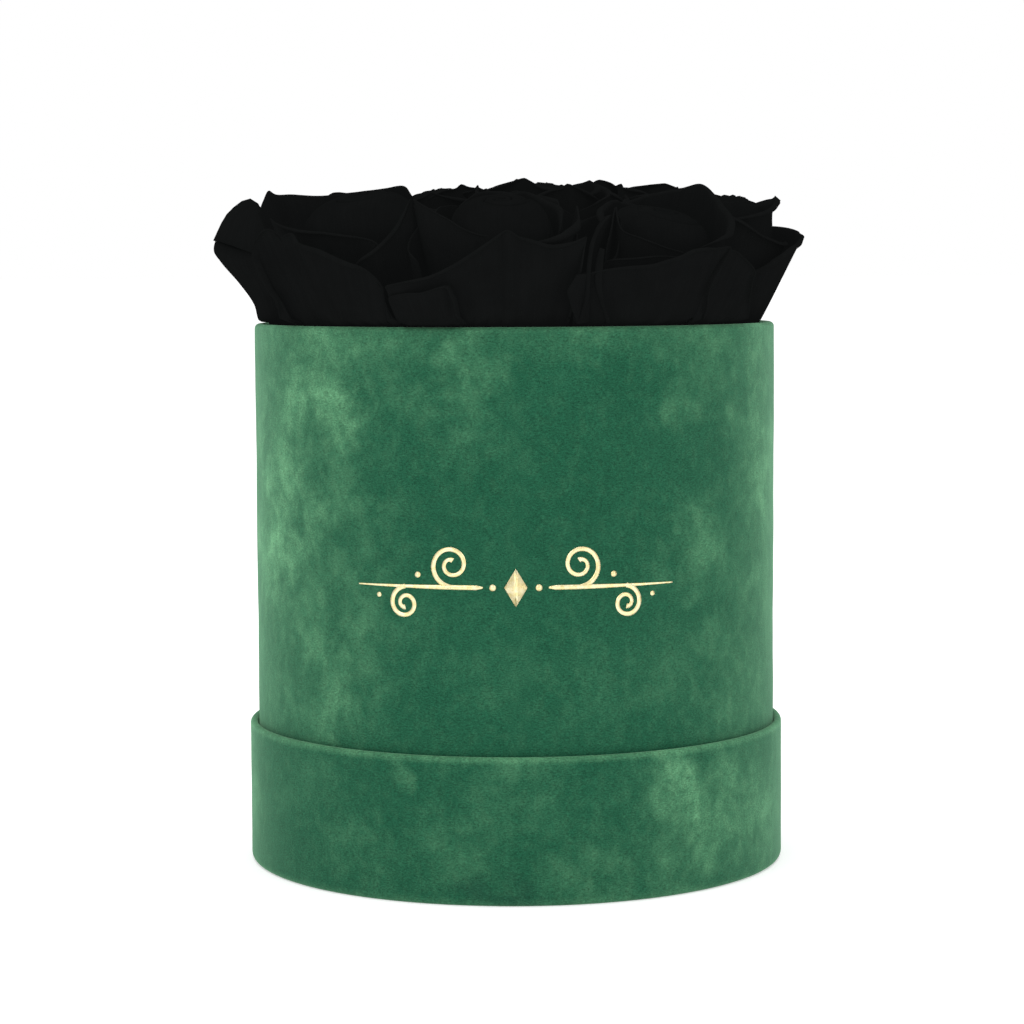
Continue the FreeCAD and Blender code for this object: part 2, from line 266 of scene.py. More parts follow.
def velvet(name, radius, nap_and_sheen, edges, pressed=()):
    t = Tree(name)
    wander = t.noise(t.coord, 60.0, 3.0, 0.6, 0.0, True)
    warped = t.vmath("ADD", t.coord, t.vmath("SCALE", t.vmath("SUBTRACT", wander, (0.5, 0.5, 0.5)), 0.028))

    def patches(places):
        total = None
        for azimuth, z, r, strength in places:
            a = math.radians(azimuth)
            centre = (radius * math.sin(a) * 0.001, -radius * math.cos(a) * 0.001, z * 0.001)
            blob = t.span(t.vmath("DISTANCE", warped, centre), r * 0.0019, r * 0.0002, 0.0, strength)
            total = blob if total is None else t.math("ADD", total, blob)
        return total

    # paler nap patches, and among them on the box the broad ones that are painted sheen on its sides
    total = patches(nap_and_sheen)
    cloud = t.noise(t.coord, 24.0, 3.0, 0.55, 0.3)
    mottle = t.noise(t.coord, 85.0, 4.0, 0.6, 0.5)
    rub = t.noise(t.mapping(t.coord, (1, 1, 0.8)), 260.0, 3.0, 0.6, 0.3)
    grain = t.noise(t.mapping(t.coord, (1, 1, 2.2)), 1250.0, 2.0, 0.7)
    fibre = t.noise(t.mapping(t.coord, (1, 1, 0.5)), 4200.0, 1.0, 0.5)
    split = t.t.nodes.new("ShaderNodeSeparateXYZ")
    t.link(t.coord, split.inputs[0])
    depth, height = split.outputs[1], split.outputs[2]
    # soft clouds over the sides and back, fainter at the front where the patches above lie
    clouds = t.math("MULTIPLY", t.span(cloud, 0.45, 0.75), t.span(depth, -0.04, 0.03, 0.08, 0.42))
    broken = t.span(mottle, 0.32, 0.68, 0.42, 1.4)
    nap_and_painted_light = t.math("MULTIPLY", t.math("ADD", total, clouds), broken)
    nap_and_painted_light = t.math("ADD", nap_and_painted_light, t.span(rub, 0.34, 0.72, -0.02, 0.05))
    # painted highlights: lighter bands along the rims and the lid's edges, by height
    for start, end, strength in edges:
        nap_and_painted_light = t.math("ADD", nap_and_painted_light, t.span(height, start * 0.001, end * 0.001, 0.0, strength))
    nap_and_painted_light = t.math("ADD", nap_and_painted_light, 0.0, True)
    deep = t.mix(t.span(mottle, 0.25, 0.75), srgb(26, 78, 56), srgb(31, 83, 60))
    lit = t.mix(t.span(rub, 0.35, 0.7), srgb(88, 142, 104), srgb(102, 156, 115))
    colour = t.mix(nap_and_painted_light, deep, lit)
    # painted shade: the given spots are darkened towards a deep green
    if pressed:
        colour = t.mix(t.math("ADD", patches(pressed), 0.0, True), colour, srgb(25, 62, 49))
    speck = t.math("ADD", t.span(grain, 0.28, 0.72, 0.62, 1.38, False), t.span(fibre, 0.3, 0.7, -0.14, 0.14, False))
    t.link(t.mix(1.0, colour, t.xyz(speck, speck, speck), "MULTIPLY"), t.bsdf.inputs["Base Color"])
    t.const(Roughness=0.95, Specular_IOR_Level=0.08, Sheen_Weight=0.36, Sheen_Roughness=0.42, Sheen_Tint=(0.5, 0.96, 0.6, 1.0))
    t.bump(t.math("ADD", t.math("MULTIPLY", grain, 0.6), t.math("MULTIPLY", rub, 1.0)), 0.00018, 0.6)
    return t.material


def petal_cloth():
    t = Tree("rose_petal")
    u, v, ident = t.attribute("across"), t.attribute("along"), t.attribute("petal")
    veins = t.noise(t.xyz(t.math("MULTIPLY", u, 26.0), t.math("MULTIPLY", v, 2.4), t.math("MULTIPLY", ident, 7.3)), 1.0, 4.0, 0.6, 0.25)
    crepe = t.noise(t.coord, 900.0, 3.0, 0.6)
    cloud = t.noise(t.coord, 120.0, 3.0, 0.55)
    tone = t.mix(t.span(cloud, 0.3, 0.7), srgb(8.3, 8.9, 8.9), srgb(10.1, 10.8, 10.8))
    edge = t.span(v, 0.8, 1.05, 0.0, 0.3)
    tone = t.mix(edge, tone, srgb(12, 12.7, 12.7))
    # the petals of the bud come first, and are a little deeper in tone
    speck = t.math("MULTIPLY", t.span(veins, 0.3, 0.7, 0.9, 1.1, False), t.span(ident, 9.4, 9.6, 0.82, 1.0))
    t.link(t.mix(1.0, tone, t.xyz(speck, speck, speck), "MULTIPLY"), t.bsdf.inputs["Base Color"])
    # The petals glow faintly: painted light, a small emission that lifts the shade in the hollows between them.
    t.const(Roughness=0.75, Specular_IOR_Level=0.0, Emission_Color=(0.0031, 0.0034, 0.0034, 1.0), Emission_Strength=1.0)
    height = t.math("ADD", t.math("MULTIPLY", veins, 1.0), t.math("MULTIPLY", crepe, 0.25))
    t.bump(height, 0.0005, 0.4)
    return t.material


def plain(name, dark, light, scale, rough, bump, spec=0.3, detail=4.0):
    """Paper, board and other matt stuff: two tones in a cloudy noise, with a fine tooth."""
    t = Tree(name)
    cloud = t.noise(t.coord, scale * 0.05, detail, 0.6)
    tooth = t.noise(t.coord, scale, 3.0, 0.65)
    tone = t.mix(t.span(cloud, 0.3, 0.7), dark, light)
    speck = t.span(tooth, 0.3, 0.7, 0.85, 1.15, False)
    t.link(t.mix(1.0, tone, t.xyz(speck, speck, speck), "MULTIPLY"), t.bsdf.inputs["Base Color"])
    t.link(t.span(tooth, 0.3, 0.7, rough - 0.08, rough + 0.08, False), t.bsdf.inputs["Roughness"])
    t.const(Specular_IOR_Level=spec)
    t.bump(tooth, bump, 0.6)
    return t.material


def foam_stuff():
    t = Tree("floral_foam")
    pores = t.voronoi(t.coord, 1500.0)
    pits = t.voronoi(t.coord, 420.0)
    crumb = t.noise(t.coord, 90.0, 4.0, 0.6)
    # The pores and pits are painted darker: painted shade in the hollows, which the bump also dents.
    hollow = t.math("MULTIPLY", t.span(pores, 0.05, 0.5, 0.45, 1.0), t.span(pits, 0.05, 0.35, 0.65, 1.0))
    tone = t.mix(t.span(crumb, 0.3, 0.7), srgb(30, 33, 31), srgb(44, 48, 45))
    t.link(t.mix(1.0, tone, t.xyz(hollow, hollow, hollow), "MULTIPLY"), t.bsdf.inputs["Base Color"])
    t.const(Roughness=1.0, Specular_IOR_Level=0.02)
    t.bump(hollow, 0.0005, 0.9)
    return t.material


def foil():
    t = Tree("gold_foil")
    crinkle = t.noise(t.coord, 700.0, 4.0, 0.6)
    tint = t.mix(t.span(crinkle, 0.35, 0.68), srgb(236, 218, 158), srgb(250, 240, 198))
    t.link(tint, t.bsdf.inputs["Base Color"])
    t.link(t.span(crinkle, 0.3, 0.7, 0.24, 0.4, False), t.bsdf.inputs["Roughness"])
    t.const(Metallic=1.0)
    t.bump(crinkle, 0.00008, 0.5)
    return t.material


def green_stuff(name, dark, light):
    t = Tree(name)
    streak = t.noise(t.mapping(t.coord, (1, 1, 0.12)), 1400.0, 3.0, 0.6)
    cloud = t.noise(t.coord, 160.0, 3.0, 0.6)
    tone = t.mix(t.span(cloud, 0.3, 0.7), dark, light)
    speck = t.span(streak, 0.3, 0.7, 0.75, 1.25, False)
    t.link(t.mix(1.0, tone, t.xyz(speck, speck, speck), "MULTIPLY"), t.bsdf.inputs["Base Color"])
    t.const(Roughness=0.62, Specular_IOR_Level=0.2)
    t.bump(streak, 0.0002, 0.6)
    return t.material


# The (start, end, strength) bands in height are painted highlights along the rims and edges. The lid's darker spots are
# painted shade.
VELVET_BOX = velvet("velvet_box", BOX_R, BOX_NAP_AND_SHEEN, [(163.4, 165.2, 0.1), (152.0, 165.0, 0.13)])
VELVET_LID = velvet("velvet_lid", LID_R, LID_NAP, [(40.6, 42.8, 0.36), (3.0, 0.5, 0.14)], LID_SHADE_SPOTS)
PETAL = petal_cloth()
GREY_BOARD = plain("grey_board", srgb(142, 136, 126), srgb(168, 162, 150), 1100.0, 0.9, 0.0001, 0.2)
LINING = plain("lining_paper", srgb(18, 18, 19), srgb(27, 27, 28), 1500.0, 0.78, 0.00006, 0.25)
FOAM = foam_stuff()
FOIL = foil()
CALYX = green_stuff("rose_calyx", srgb(24, 33, 22), srgb(40, 52, 32))
STEM = green_stuff("rose_stem", srgb(34, 40, 24), srgb(56, 60, 36))

# ---------------------------------------------------------------------------
# Velvet wraps: cloth turned over the rims, with a lapped seam at the back
# ---------------------------------------------------------------------------
box_wave = sines(11, 7, 2, 9)
box_wave_fine = sines(12, 9, 12, 30)
lid_wave = sines(21, 7, 2, 8)
lid_wave_fine = sines(22, 9, 12, 30)


def stations(n, seam):
    """Angles round the wrap, closer together at the lap of the seam."""
    base = np.linspace(0, 2 * np.pi, n, endpoint=False)
    lap = np.radians(180.0 + np.array([-1.0, -0.5, -0.2, -0.08, 0.04, 0.12, 0.25, 0.5, 1.0, 6.2, 6.8, 7.4]))
    keep = [a for a in base if np.min(np.abs(a - lap)) > np.radians(0.35)]
    return np.sort(np.concatenate([keep, lap])) if seam else base


def lap_height(theta):
    """How far the upper end of the cloth stands over the lower one at the seam."""
    d = np.degrees(theta) - 180.0
    step = np.clip((d + 0.05) / 0.14, 0, 1)
    fade = 1 - np.clip((d - 6.0) / 1.4, 0, 1)
    groove = -0.16 * np.exp(-(((d + 0.22) / 0.18) ** 2))
    return 0.2 * step * fade + groove


def box_swell(theta, z):
    low = np.clip((z - 40.0) / 20.0, 0.35, 1.0)
    return low * (0.11 * box_wave(theta, z) + 0.035 * box_wave_fine(theta, z))


def lid_swell(theta, z):
    return 0.1 * lid_wave(theta, z) + 0.03 * lid_wave_fine(theta, z)


def wrap(name, outer, inner, swell, n):
    """A turned skin: its outer side follows the board with a little swell, its inner side lies on the board."""
    theta = stations(n, True)
    loop = np.array(outer + inner)
    is_outer = np.array([1.0] * len(outer) + [0.0] * len(inner))
    verts = []
    for a in theta:
        d = (swell(a, loop[:, 1]) + lap_height(a)) * is_outer
        r = loop[:, 0] + d
        verts.append(np.column_stack([r * math.sin(a), -r * math.cos(a), loop[:, 1]]))
    return new_piece(name, np.concatenate(verts), ring_faces(len(theta), len(loop)))


box_outer = (
    run((66.0, 2.8), (78.5, 2.8), 5)
    + arc(78.5, 4.3, 1.5, -90, 0, 6)
    + run((80.0, 6.0), (80.0, 162.6), 62)
    + arc(78.55, 163.95, 1.45, 0, 90, 8)
    + arc(78.45, 163.95, 1.45, 90, 180, 8)
    + run((77.0, 162.5), (77.0, 147.4), 8)
    + [(77.0, 147.4)]
)
box_inner = (
    [(77.5, 147.4)]
    + run((77.5, 149.0), (77.5, 163.95), 6)
    + arc(78.45, 163.95, 0.95, 180, 90, 5)
    + arc(78.55, 163.95, 0.95, 90, 0, 5)
    + run((79.5, 163.0), (79.5, 4.3), 40)
    + arc(78.5, 4.3, 1.0, 0, -90, 5)
    + run((78.0, 3.3), (66.0, 3.3), 3)
    + [(66.0, 3.3)]
)
box_velvet = wrap("box_velvet", box_outer, box_inner, box_swell, 256)
cover(box_velvet, VELVET_BOX)
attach(box_velvet, "box")
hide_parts("box_velvet_wrap")

lid_outer = (
    run((80.85, 0.0), (81.05, 0.0), 1)
    + arc(81.05, 1.6, 1.6, -90, 0, 7)
    + run((82.65, 3.0), (82.65, 41.6), 18)
    + arc(81.55, 42.0, 1.1, 0, 90, 7)
    + arc(81.45, 42.0, 1.1, 90, 180, 7)
    + run((80.35, 41.0), (80.35, 29.1), 6)
    + [(80.35, 29.1)]
)
lid_inner = (
    [(80.85, 29.1)]
    + run((80.85, 30.5), (80.85, 42.0), 5)
    + arc(81.45, 42.0, 0.6, 180, 90, 4)
    + arc(81.55, 42.0, 0.6, 90, 0, 4)
    + run((82.15, 41.0), (82.15, 1.6), 14)
    + arc(81.05, 1.6, 1.1, 0, -90, 5)
    + [(80.85, 0.5)]
)
lid_velvet = wrap("lid_velvet", lid_outer, lid_inner, lid_swell, 256)
cover(lid_velvet, VELVET_LID)
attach(lid_velvet, "lid")
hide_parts("lid_skirt_velvet")


def velvet_disc(name, r, z0, z1, seed, down):
    """A glued disc of cloth, its cut edge a little uneven."""
    n = 180
    rings = [0.0, 0.2, 0.4, 0.6, 0.78, 0.9, 0.97, 1.0]
    wave = sines(seed, 9, 5, 40)
    theta = np.linspace(0, 2 * np.pi, n, endpoint=False)
    verts, faces = [], []
    for z, sign in ((z0, -1), (z1, 1)):
        start = len(verts)
        verts.append((0, 0, z))
        for f in rings[1:]:
            edge = (0.12 * wave(theta, 0) - 0.12) if f == 1.0 else 0 * theta
            rr = r * f + edge
            verts += list(zip(rr * np.sin(theta), -rr * np.cos(theta), np.full(n, z)))
        for i in range(n):
            j = (i + 1) % n
            faces.append((start, start + 1 + i, start + 1 + j))
            for k in range(len(rings) - 2):
                a, b = start + 1 + k * n, start + 1 + (k + 1) * n
                faces.append((a + i, b + i, b + j, a + j))
    m = len(verts) // 2
    last = 1 + (len(rings) - 2) * n
    for i in range(n):
        j = (i + 1) % n
        faces.append((last + i, last + j, m + last + j, m + last + i))
    return new_piece(name, verts, faces)


lid_disc = velvet_disc("lid_top_cloth", 80.85, 0.0, 0.5, 31, True)
cover(lid_disc, VELVET_LID)
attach(lid_disc, "lid")
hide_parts("lid_top_velvet")

box_disc = velvet_disc("box_base_cloth", 66.0, 2.8, 3.3, 32, True)
cover(box_disc, VELVET_BOX)
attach(box_disc, "box")
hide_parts("box_base_cover")

# ---------------------------------------------------------------------------
# Foil ornament on the front: tapered rules, scrolls, a lozenge and dots
# ---------------------------------------------------------------------------
FOIL_Z = 91.5


def foil_piece(name, outlines):
    """Flat shapes of (left edge, right edge) strips laid on the front of the box, with a little thickness."""
    verts, faces = [], []
    for left, right in outlines:
        left, right = np.asarray(left, float), np.asarray(right, float)
        n, start = len(left), len(verts)
        for lift in (0.16, -0.12):
            for line in (left, right):
                a = line[:, 0] / BOX_R
                z = FOIL_Z + line[:, 1]
                r = BOX_R + box_swell(a, z) + lift
                verts += list(zip(r * np.sin(a), -r * np.cos(a), z))
        tl, tr, bl, br = start, start + n, start + 2 * n, start + 3 * n
        for i in range(n - 1):
            faces += [
                (tl + i, tr + i, tr + i + 1, tl + i + 1),
                (bl + i, bl + i + 1, br + i + 1, br + i),
                (tl + i, tl + i + 1, bl + i + 1, bl + i),
                (tr + i, br + i, br + i + 1, tr + i + 1),
            ]
        faces += [(tl, bl, br, tr), (tl + n - 1, tr + n - 1, br + n - 1, bl + n - 1)]
    return new_piece(name, verts, faces)


def stroke(points, widths):
    """Edges of a line of varying width."""
    p = np.asarray(points, float)
    d = np.gradient(p, axis=0)
    d /= np.linalg.norm(d, axis=1)[:, None]
    n = np.column_stack([-d[:, 1], d[:, 0]])
    w = np.asarray(widths, float)[:, None] / 2
    return p + n * w, p - n * w


def dot(x, z, r):
    t = np.linspace(-1, 1, 17)
    half = r * np.sqrt(np.maximum(1 - t * t, 0.0004))
    line = np.column_stack([x + t * r, np.full_like(t, z)])
    return line + np.column_stack([0 * t, half]), line - np.column_stack([0 * t, half])


def lozenge(x, z, w, h, n=13):
    t = np.linspace(-1, 1, n)
    half = np.maximum((1 - np.abs(t)) * h / 2, 0.02)
    line = np.column_stack([x + t * w / 2, np.full_like(t, z)])
    return line + np.column_stack([0 * t, half]), line - np.column_stack([0 * t, half])


def volute(x, z, r0, r1, turns, side, start):
    """A scroll that winds in from a start angle."""
    t = np.linspace(0, 1, 70)
    r = r0 + (r1 - r0) * t**0.85
    a = math.radians(start) + side * 2 * np.pi * turns * t
    pts = np.column_stack([x + r * np.cos(a), z + r * np.sin(a)])
    return pts, 1.35 - 0.35 * t + 0.5 * np.exp(-(((t - 1) / 0.06) ** 2))


marks = [lozenge(0, 0, 6.6, 11.0)]
for s in (-1, 1):
    marks.append(dot(s * 6.6, 0, 0.95))
    t = np.linspace(0, 1, 60)
    x = 9.4 + 38.6 * t
    rule = np.column_stack([s * x, 0 * t])
    width = np.interp(t, [0, 0.05, 0.3, 1.0], [0.5, 1.35, 1.3, 0.35])
    marks.append(stroke(rule, width))
    for cx, cz, r0, r1, turns, up in ((18.5, 6.4, 6.4, 1.3, 1.55, 1), (32.5, -4.9, 4.9, 1.1, 1.5, -1)):
        pts, w = volute(cx, cz, r0, r1, turns, up, -90 * up)
        pts = pts * np.array([s, 1])
        marks.append(stroke(pts, w))
    marks.append(dot(s * 28.6, 3.4, 0.85))
    marks.append(dot(s * 41.0, -2.8, 0.7))
ornament = foil_piece("foil_ornament", marks)
cover(ornament, FOIL)
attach(ornament, "box")


# ---------------------------------------------------------------------------
# Roses
# ---------------------------------------------------------------------------
def rose_axes(name):
    kind, azimuth = ROSES[name]
    r, z, lean = STANCE[kind]
    a, t = math.radians(azimuth), math.radians(lean)
    base = np.array([r * math.sin(a), -r * math.cos(a), z])
    out = np.array([math.sin(a) * math.cos(t), -math.cos(a) * math.cos(t), -math.sin(t)])
    side = np.array([math.cos(a), math.sin(a), 0.0])
    up = np.array([math.sin(a) * math.sin(t), -math.cos(a) * math.sin(t), math.cos(t)])
    return base, out, side, up


def to_frame(name, p):
    base, out, side, up = rose_axes(name)
    return base + p[..., 0:1] * out + p[..., 1:2] * side + p[..., 2:3] * up


def soft_under(x, limit, k):
    """x where it is well under the limit, and never over it."""
    return limit - k * np.logaddexp(0.0, (limit - x) / k)


# Planes between two roses that aren't halfway between them: azimuth, lean, and distance from the middle of the box.
BETWEEN = {
    ("front_left_rose", "front_rose"): (-32.0, -0.14, 12.4),
    ("front_rose", "front_right_rose"): (13.0, -0.125, 0.0),
}


def neighbours(name):
    """The planes between a rose and those beside it: azimuth in degrees, lean, and distance from the middle."""
    kind, azimuth = ROSES[name]
    ring = sorted((n for n in ROSES if ROSES[n][0] == kind), key=lambda n: ROSES[n][1] % 360)
    i = ring.index(name)
    before, after = ring[i - 1], ring[(i + 1) % len(ring)]
    lo = azimuth - ((azimuth - ROSES[before][1]) % 360) / 2
    hi = azimuth + ((ROSES[after][1] - azimuth) % 360) / 2
    return BETWEEN.get((before, name), (lo, 0.0, 0.0)), BETWEEN.get((name, after), (hi, 0.0, 0.0))


def tuck(name, p, over=7.0, gap=0.36):
    """Keeps petals in the room that their rose has, so that it can be drawn out past its neighbours and the rim.
    Over is how steeply they may spread over the rim: a fine grid can lie flatter on it."""
    kind, _ = ROSES[name]
    q = p.copy()
    lo, hi = neighbours(name)
    for _ in range(2):
        for (azimuth, lean, aside), sign in ((lo, -1.0), (hi, 1.0)):
            a = math.radians(azimuth)
            across = np.array([math.cos(a), math.sin(a)]) * sign
            d = q[..., 0] * across[0] + q[..., 1] * across[1] + sign * (lean * (q[..., 2] - 180.0) - aside)
            moved = soft_under(d, -gap, 0.3)
            q[..., 0] += (moved - d) * across[0]
            q[..., 1] += (moved - d) * across[1]
        r = np.hypot(q[..., 0], q[..., 1])
        z = q[..., 2]
        split = 42.5 + 0.0875 * (z - 195.0)
        if kind == "outer":
            wall = np.where(z < 166.0, 75.8 - 0.315 * (166.0 - z), 75.8 + over * (z - 166.0))
            new = soft_under(r, wall, 0.4)
            new = -soft_under(-new, -(split + gap), 0.5)
        else:
            new = soft_under(r, split - gap, 0.5)
        f = new / np.maximum(r, 1e-6)
        q[..., 0] *= f
        q[..., 1] *= f
    return q


def smooth(p, t, x):
    """Rows at x on a smooth curve that passes through row i of p at t[i]."""
    p, t = np.asarray(p, float), np.asarray(t, float)
    shape = (-1,) + (1,) * (p.ndim - 1)
    d = np.diff(t)
    a, b = d[:-1].reshape(shape), d[1:].reshape(shape)
    slope = np.diff(p, axis=0) / d.reshape(shape)
    m = np.concatenate([slope[:1], (slope[:-1] * b + slope[1:] * a) / (a + b), slope[-1:]])
    k = np.clip(np.searchsorted(t, x, side="right") - 1, 0, len(d) - 1)
    h = d[k].reshape(shape)
    w = ((x - t[k]) / d[k]).reshape(shape)
    return (
        (2 * w**3 - 3 * w**2 + 1) * p[k]
        + (w**3 - 2 * w**2 + w) * h * m[k]
        + (-2 * w**3 + 3 * w**2) * p[k + 1]
        + (w**3 - w**2) * h * m[k + 1]
    )


def curve_through(points, n):
    """n rows along a smooth curve through the points; the first three columns are angle, radius and height."""
    p = np.array(points, float)
    metric = np.column_stack([np.radians(p[:, 0]) * 20.0, p[:, 1], p[:, 2]])
    d = np.sqrt(np.maximum(np.linalg.norm(np.diff(metric, axis=0), axis=1), 1e-4))
    t = np.concatenate([[0], np.cumsum(d)])
    return smooth(p, t, np.linspace(0, t[-1], n))


def folds(rng, u, v):
    """Soft folds across a petal, that slant a little as they run up it."""
    line = 0.0
    for f in (1.5, 2.7, 4.3, 6.1, 8.7):
        size, place, slant = rng.uniform(0.3, 1.0) / f**0.6, rng.uniform(0, 6.28), rng.uniform(-1.2, 1.2) * np.pi
        line = line + size * np.sin(np.pi * f * u[:, None] + slant * v[None, :] + place)
    return line


def leaf(rows, seed, narrow=0.7, crease=0.25, nu=57, nv=33):
    """A petal given by its profiles: rows of (angle, [(radius, height), ...]) from its foot to its edge, each with the same number of points."""
    rng = np.random.default_rng(seed)
    u, v = np.linspace(-1, 1, nu), np.linspace(0, 1, nv)
    knots = np.linspace(-1, 1, len(rows))
    angle = smooth([r[0] for r in rows], knots, u)
    profile = smooth([r[1] for r in rows], knots, u)
    t = np.concatenate([[0], np.cumsum(np.linalg.norm(np.diff(profile.mean(0), axis=0), axis=1))])
    line = smooth(np.swapaxes(profile, 0, 1), t / t[-1], v)
    middle = 0.5 * (angle[0] + angle[-1])
    grow = narrow + (1 - narrow) * (1 - (1 - v) ** 1.7)
    PHI = np.radians(middle + (angle[:, None] - middle) * grow[None, :])
    RHO = line[..., 0].T + crease * folds(rng, u, v) * v[None, :] ** 1.6
    S = line[..., 1].T + crease * 0.5 * folds(rng, u, v) * v[None, :] ** 4
    P = np.stack([RHO * np.cos(PHI), RHO * np.sin(PHI), S], -1)
    return P, np.repeat(u[:, None], nv, 1), np.repeat(v[None, :], nu, 0)


def strip(points, n=41):
    """A narrow torn strip of petal along (angle, radius, height, width) points."""
    c = curve_through(points, n)
    j = np.linspace(-1, 1, 5)
    phi = np.radians(c[:, 0])[:, None] + j[None, :] * (c[:, 3] / 2 / c[:, 1])[:, None]
    rho = c[:, 1][:, None] - 0.22 * j[None, :] ** 2
    P = np.stack([rho * np.cos(phi), rho * np.sin(phi), c[:, 2][:, None] + 0 * phi], -1)
    v = np.linspace(1, 0, n)
    return P, np.repeat(0.2 * j[None, :], n, 0), np.repeat(v[:, None], 5, 1)


def flap(name, left, right, n=37, m=9):
    """A corner of a petal between two edges, given by points of the frame."""
    base, out, side, up = rose_axes(name)
    a, b = (smooth(e, np.linspace(0, 1, len(e)), np.linspace(0, 1, n)) for e in (left, right))
    q = a[:, None] + (b - a)[:, None] * np.linspace(0, 1, m)[None, :, None] - base
    P = np.stack([q @ out, q @ side, q @ up], -1)
    return P, np.repeat(np.linspace(-0.3, 0.3, m)[None, :], n, 0), np.repeat(np.linspace(1, 0, n)[:, None], m, 1)


def petal(rim, seed, s0=9.0, rho0=4.2, narrow=0.5, cup=0.8, belly=0.0, clear=0.0, crease=0.3, nu=37, nv=13, nl=6):
    """A petal whose rim runs through (angle, radius, height, lip radius, lip turn in degrees) points about the rose's axis.
    It rises from the calyx to the rim and then rolls outwards in a lip. Gives a grid of points and its across and along values."""
    c = curve_through(rim, nu)
    phi, rho, s = np.radians(c[:, 0]), c[:, 1], c[:, 2]
    lip_r, lip_a = np.maximum(c[:, 3], 0.05), np.radians(np.clip(c[:, 4], 5, 260))
    rng = np.random.default_rng(seed)
    u = np.linspace(-1, 1, nu)
    v = np.linspace(0, 1, nv) ** 0.9
    middle = np.radians(0.5 * (rim[0][0] + rim[-1][0]))
    lean = np.arctan2((rho - rho0) * cup + 0.01, s - s0)
    w = np.linspace(0, 1, nl + 1)[1:]
    turn = lip_a[:, None] * w[None, :]
    rise = lip_r[:, None] * (np.sin(turn) * np.cos(lean)[:, None] - (1 - np.cos(turn)) * np.sin(lean)[:, None])
    reach = lip_r[:, None] * (np.sin(turn) * np.sin(lean)[:, None] + (1 - np.cos(turn)) * np.cos(lean)[:, None])
    top = s - np.maximum(rise.max(1), 0)
    grow = narrow + (1 - narrow) * (1 - (1 - v) ** 1.7)
    PHI = middle + (phi[:, None] - middle) * grow[None, :]
    bulge = np.maximum(belly, clear - rho0 - (rho - rho0) * 0.6**cup)
    RHO = rho0 + (rho[:, None] - rho0) * v[None, :] ** cup + bulge[:, None] * np.sin(np.pi * v**0.9)[None, :]
    S = s0 + (top[:, None] - s0) * v[None, :]
    PHI = np.hstack([PHI, np.repeat(phi[:, None], nl, 1)])
    RHO = np.hstack([RHO, rho[:, None] + reach])
    S = np.hstack([S, top[:, None] + rise])
    V = np.concatenate([v, 1 + 0.12 * w])
    # soft folds that fan out from the calyx
    RHO = RHO + crease * folds(rng, u, np.clip(V, 0, 1)) * np.clip(V, 0, 1)[None, :] ** 1.6
    P = np.stack([RHO * np.cos(PHI), RHO * np.sin(PHI), S], -1)
    return P, np.repeat(u[:, None], len(V), 1), np.repeat(V[None, :], nu, 0)


def bud_petal(R, H, centre, angle, half, low, high, spiral, seed, oval=0.0, nu=41, nv=21):
    """A petal of the bud: part of a blunt dome, whose upper edge runs at high(u) degrees above the dome's equator and turns out a little."""
    rng = np.random.default_rng(seed)
    u = np.linspace(-1, 1, nu)
    v = np.linspace(0, 1, nv) ** 0.75
    psi = np.radians(low + (high(u)[:, None] - low) * v[None, :])
    phi = np.radians(angle + half * u)[:, None] + 0 * psi
    rad = R * (1 + 0.03 * np.cos(2 * phi - oval)) + spiral * u[:, None] + 0.12 * np.sin(3 * np.pi * u + rng.uniform(0, 6))[:, None]
    up, out = np.clip(np.sin(psi), 0, 1) ** 0.72, np.cos(psi) ** 0.66
    # above the equator a blunt dome, below it the petal runs down to the calyx instead of closing
    rho = np.where(psi < 0, rad * (0.28 + 0.72 * np.cos(psi * 1.05)), rad * out)
    s = centre + (H + spiral * u[:, None]) * np.where(psi < 0, np.sin(psi), up)
    turn = np.clip((v - 0.84) / 0.16, 0, 1)[None, :] ** 2
    rho = rho + (0.28 + 0.022 * R) * turn
    s = s + 0.25 * turn
    P = np.stack([rho * np.cos(phi), rho * np.sin(phi), s], -1)
    return P, np.repeat(u[:, None], nv, 1), np.repeat(v[None, :], nu, 0)


def hood(R, H, centre, face, oval, seed):
    """The petal that closes a bud. It lies over the dome, from the side that faces out to past the top, and is wound up there."""
    rng = np.random.default_rng(seed)
    # rows and columns lie closer together near the top
    a = np.linspace(-1, 1, 91)
    b = np.concatenate([-0.44 * np.linspace(1, 0, 27)[:-1] ** 1.2, 1.04 * np.linspace(0, 1, 56) ** 1.35])
    u, v = (np.sign(a) * np.abs(a) ** 1.35)[:, None], ((b - 0.3) / 0.74)[None, :]
    x = 0.92 * u * np.sqrt(1 - 0.4 * v**2)
    y = 0.3 + 0.74 * v * np.sqrt(1 - 0.4 * u**2) + 0.05 * np.sin(2.2 * u + 0.6) * np.maximum(-v, 0) ** 2
    phi = np.arctan2(x, y) + math.radians(face)
    q = np.hypot(x, y)
    below = np.maximum(q - 0.93, 0)
    reach = np.minimum(q, 0.93) + 0.05 * np.tanh(below / 0.08)
    rad = R * (1 + 0.03 * np.cos(2 * phi - oval)) + 0.3
    rise = np.sqrt(1 - np.minimum(q, 0.93) ** (2 / 0.66)) ** 0.72 - 2.2 * below
    s = centre + H * rise + 0.5 + 0.12 * np.sin(3.1 * u + 1.7 * v + rng.uniform(0, 6.28))
    # the seam of the winding: a groove along a widening spiral
    px, py = x - 0.03, y + 0.05
    far = np.hypot(px, py) + 1e-6
    turn = np.log(far / 0.08) / 0.15 - np.arctan2(px, py) - rng.uniform(0, 6.28)
    off = (turn + np.pi) % (2 * np.pi) - np.pi
    seam = np.exp(-((off * 0.15 * far * R / 0.42) ** 2)) * np.clip((0.85 - far) / 0.3, 0, 1)
    s = s - 1.0 * seam
    P = np.stack([reach * rad * np.cos(phi), reach * rad * np.sin(phi), s], -1)
    return P, u + 0 * v, 0.5 - 0.5 * v + 0 * u


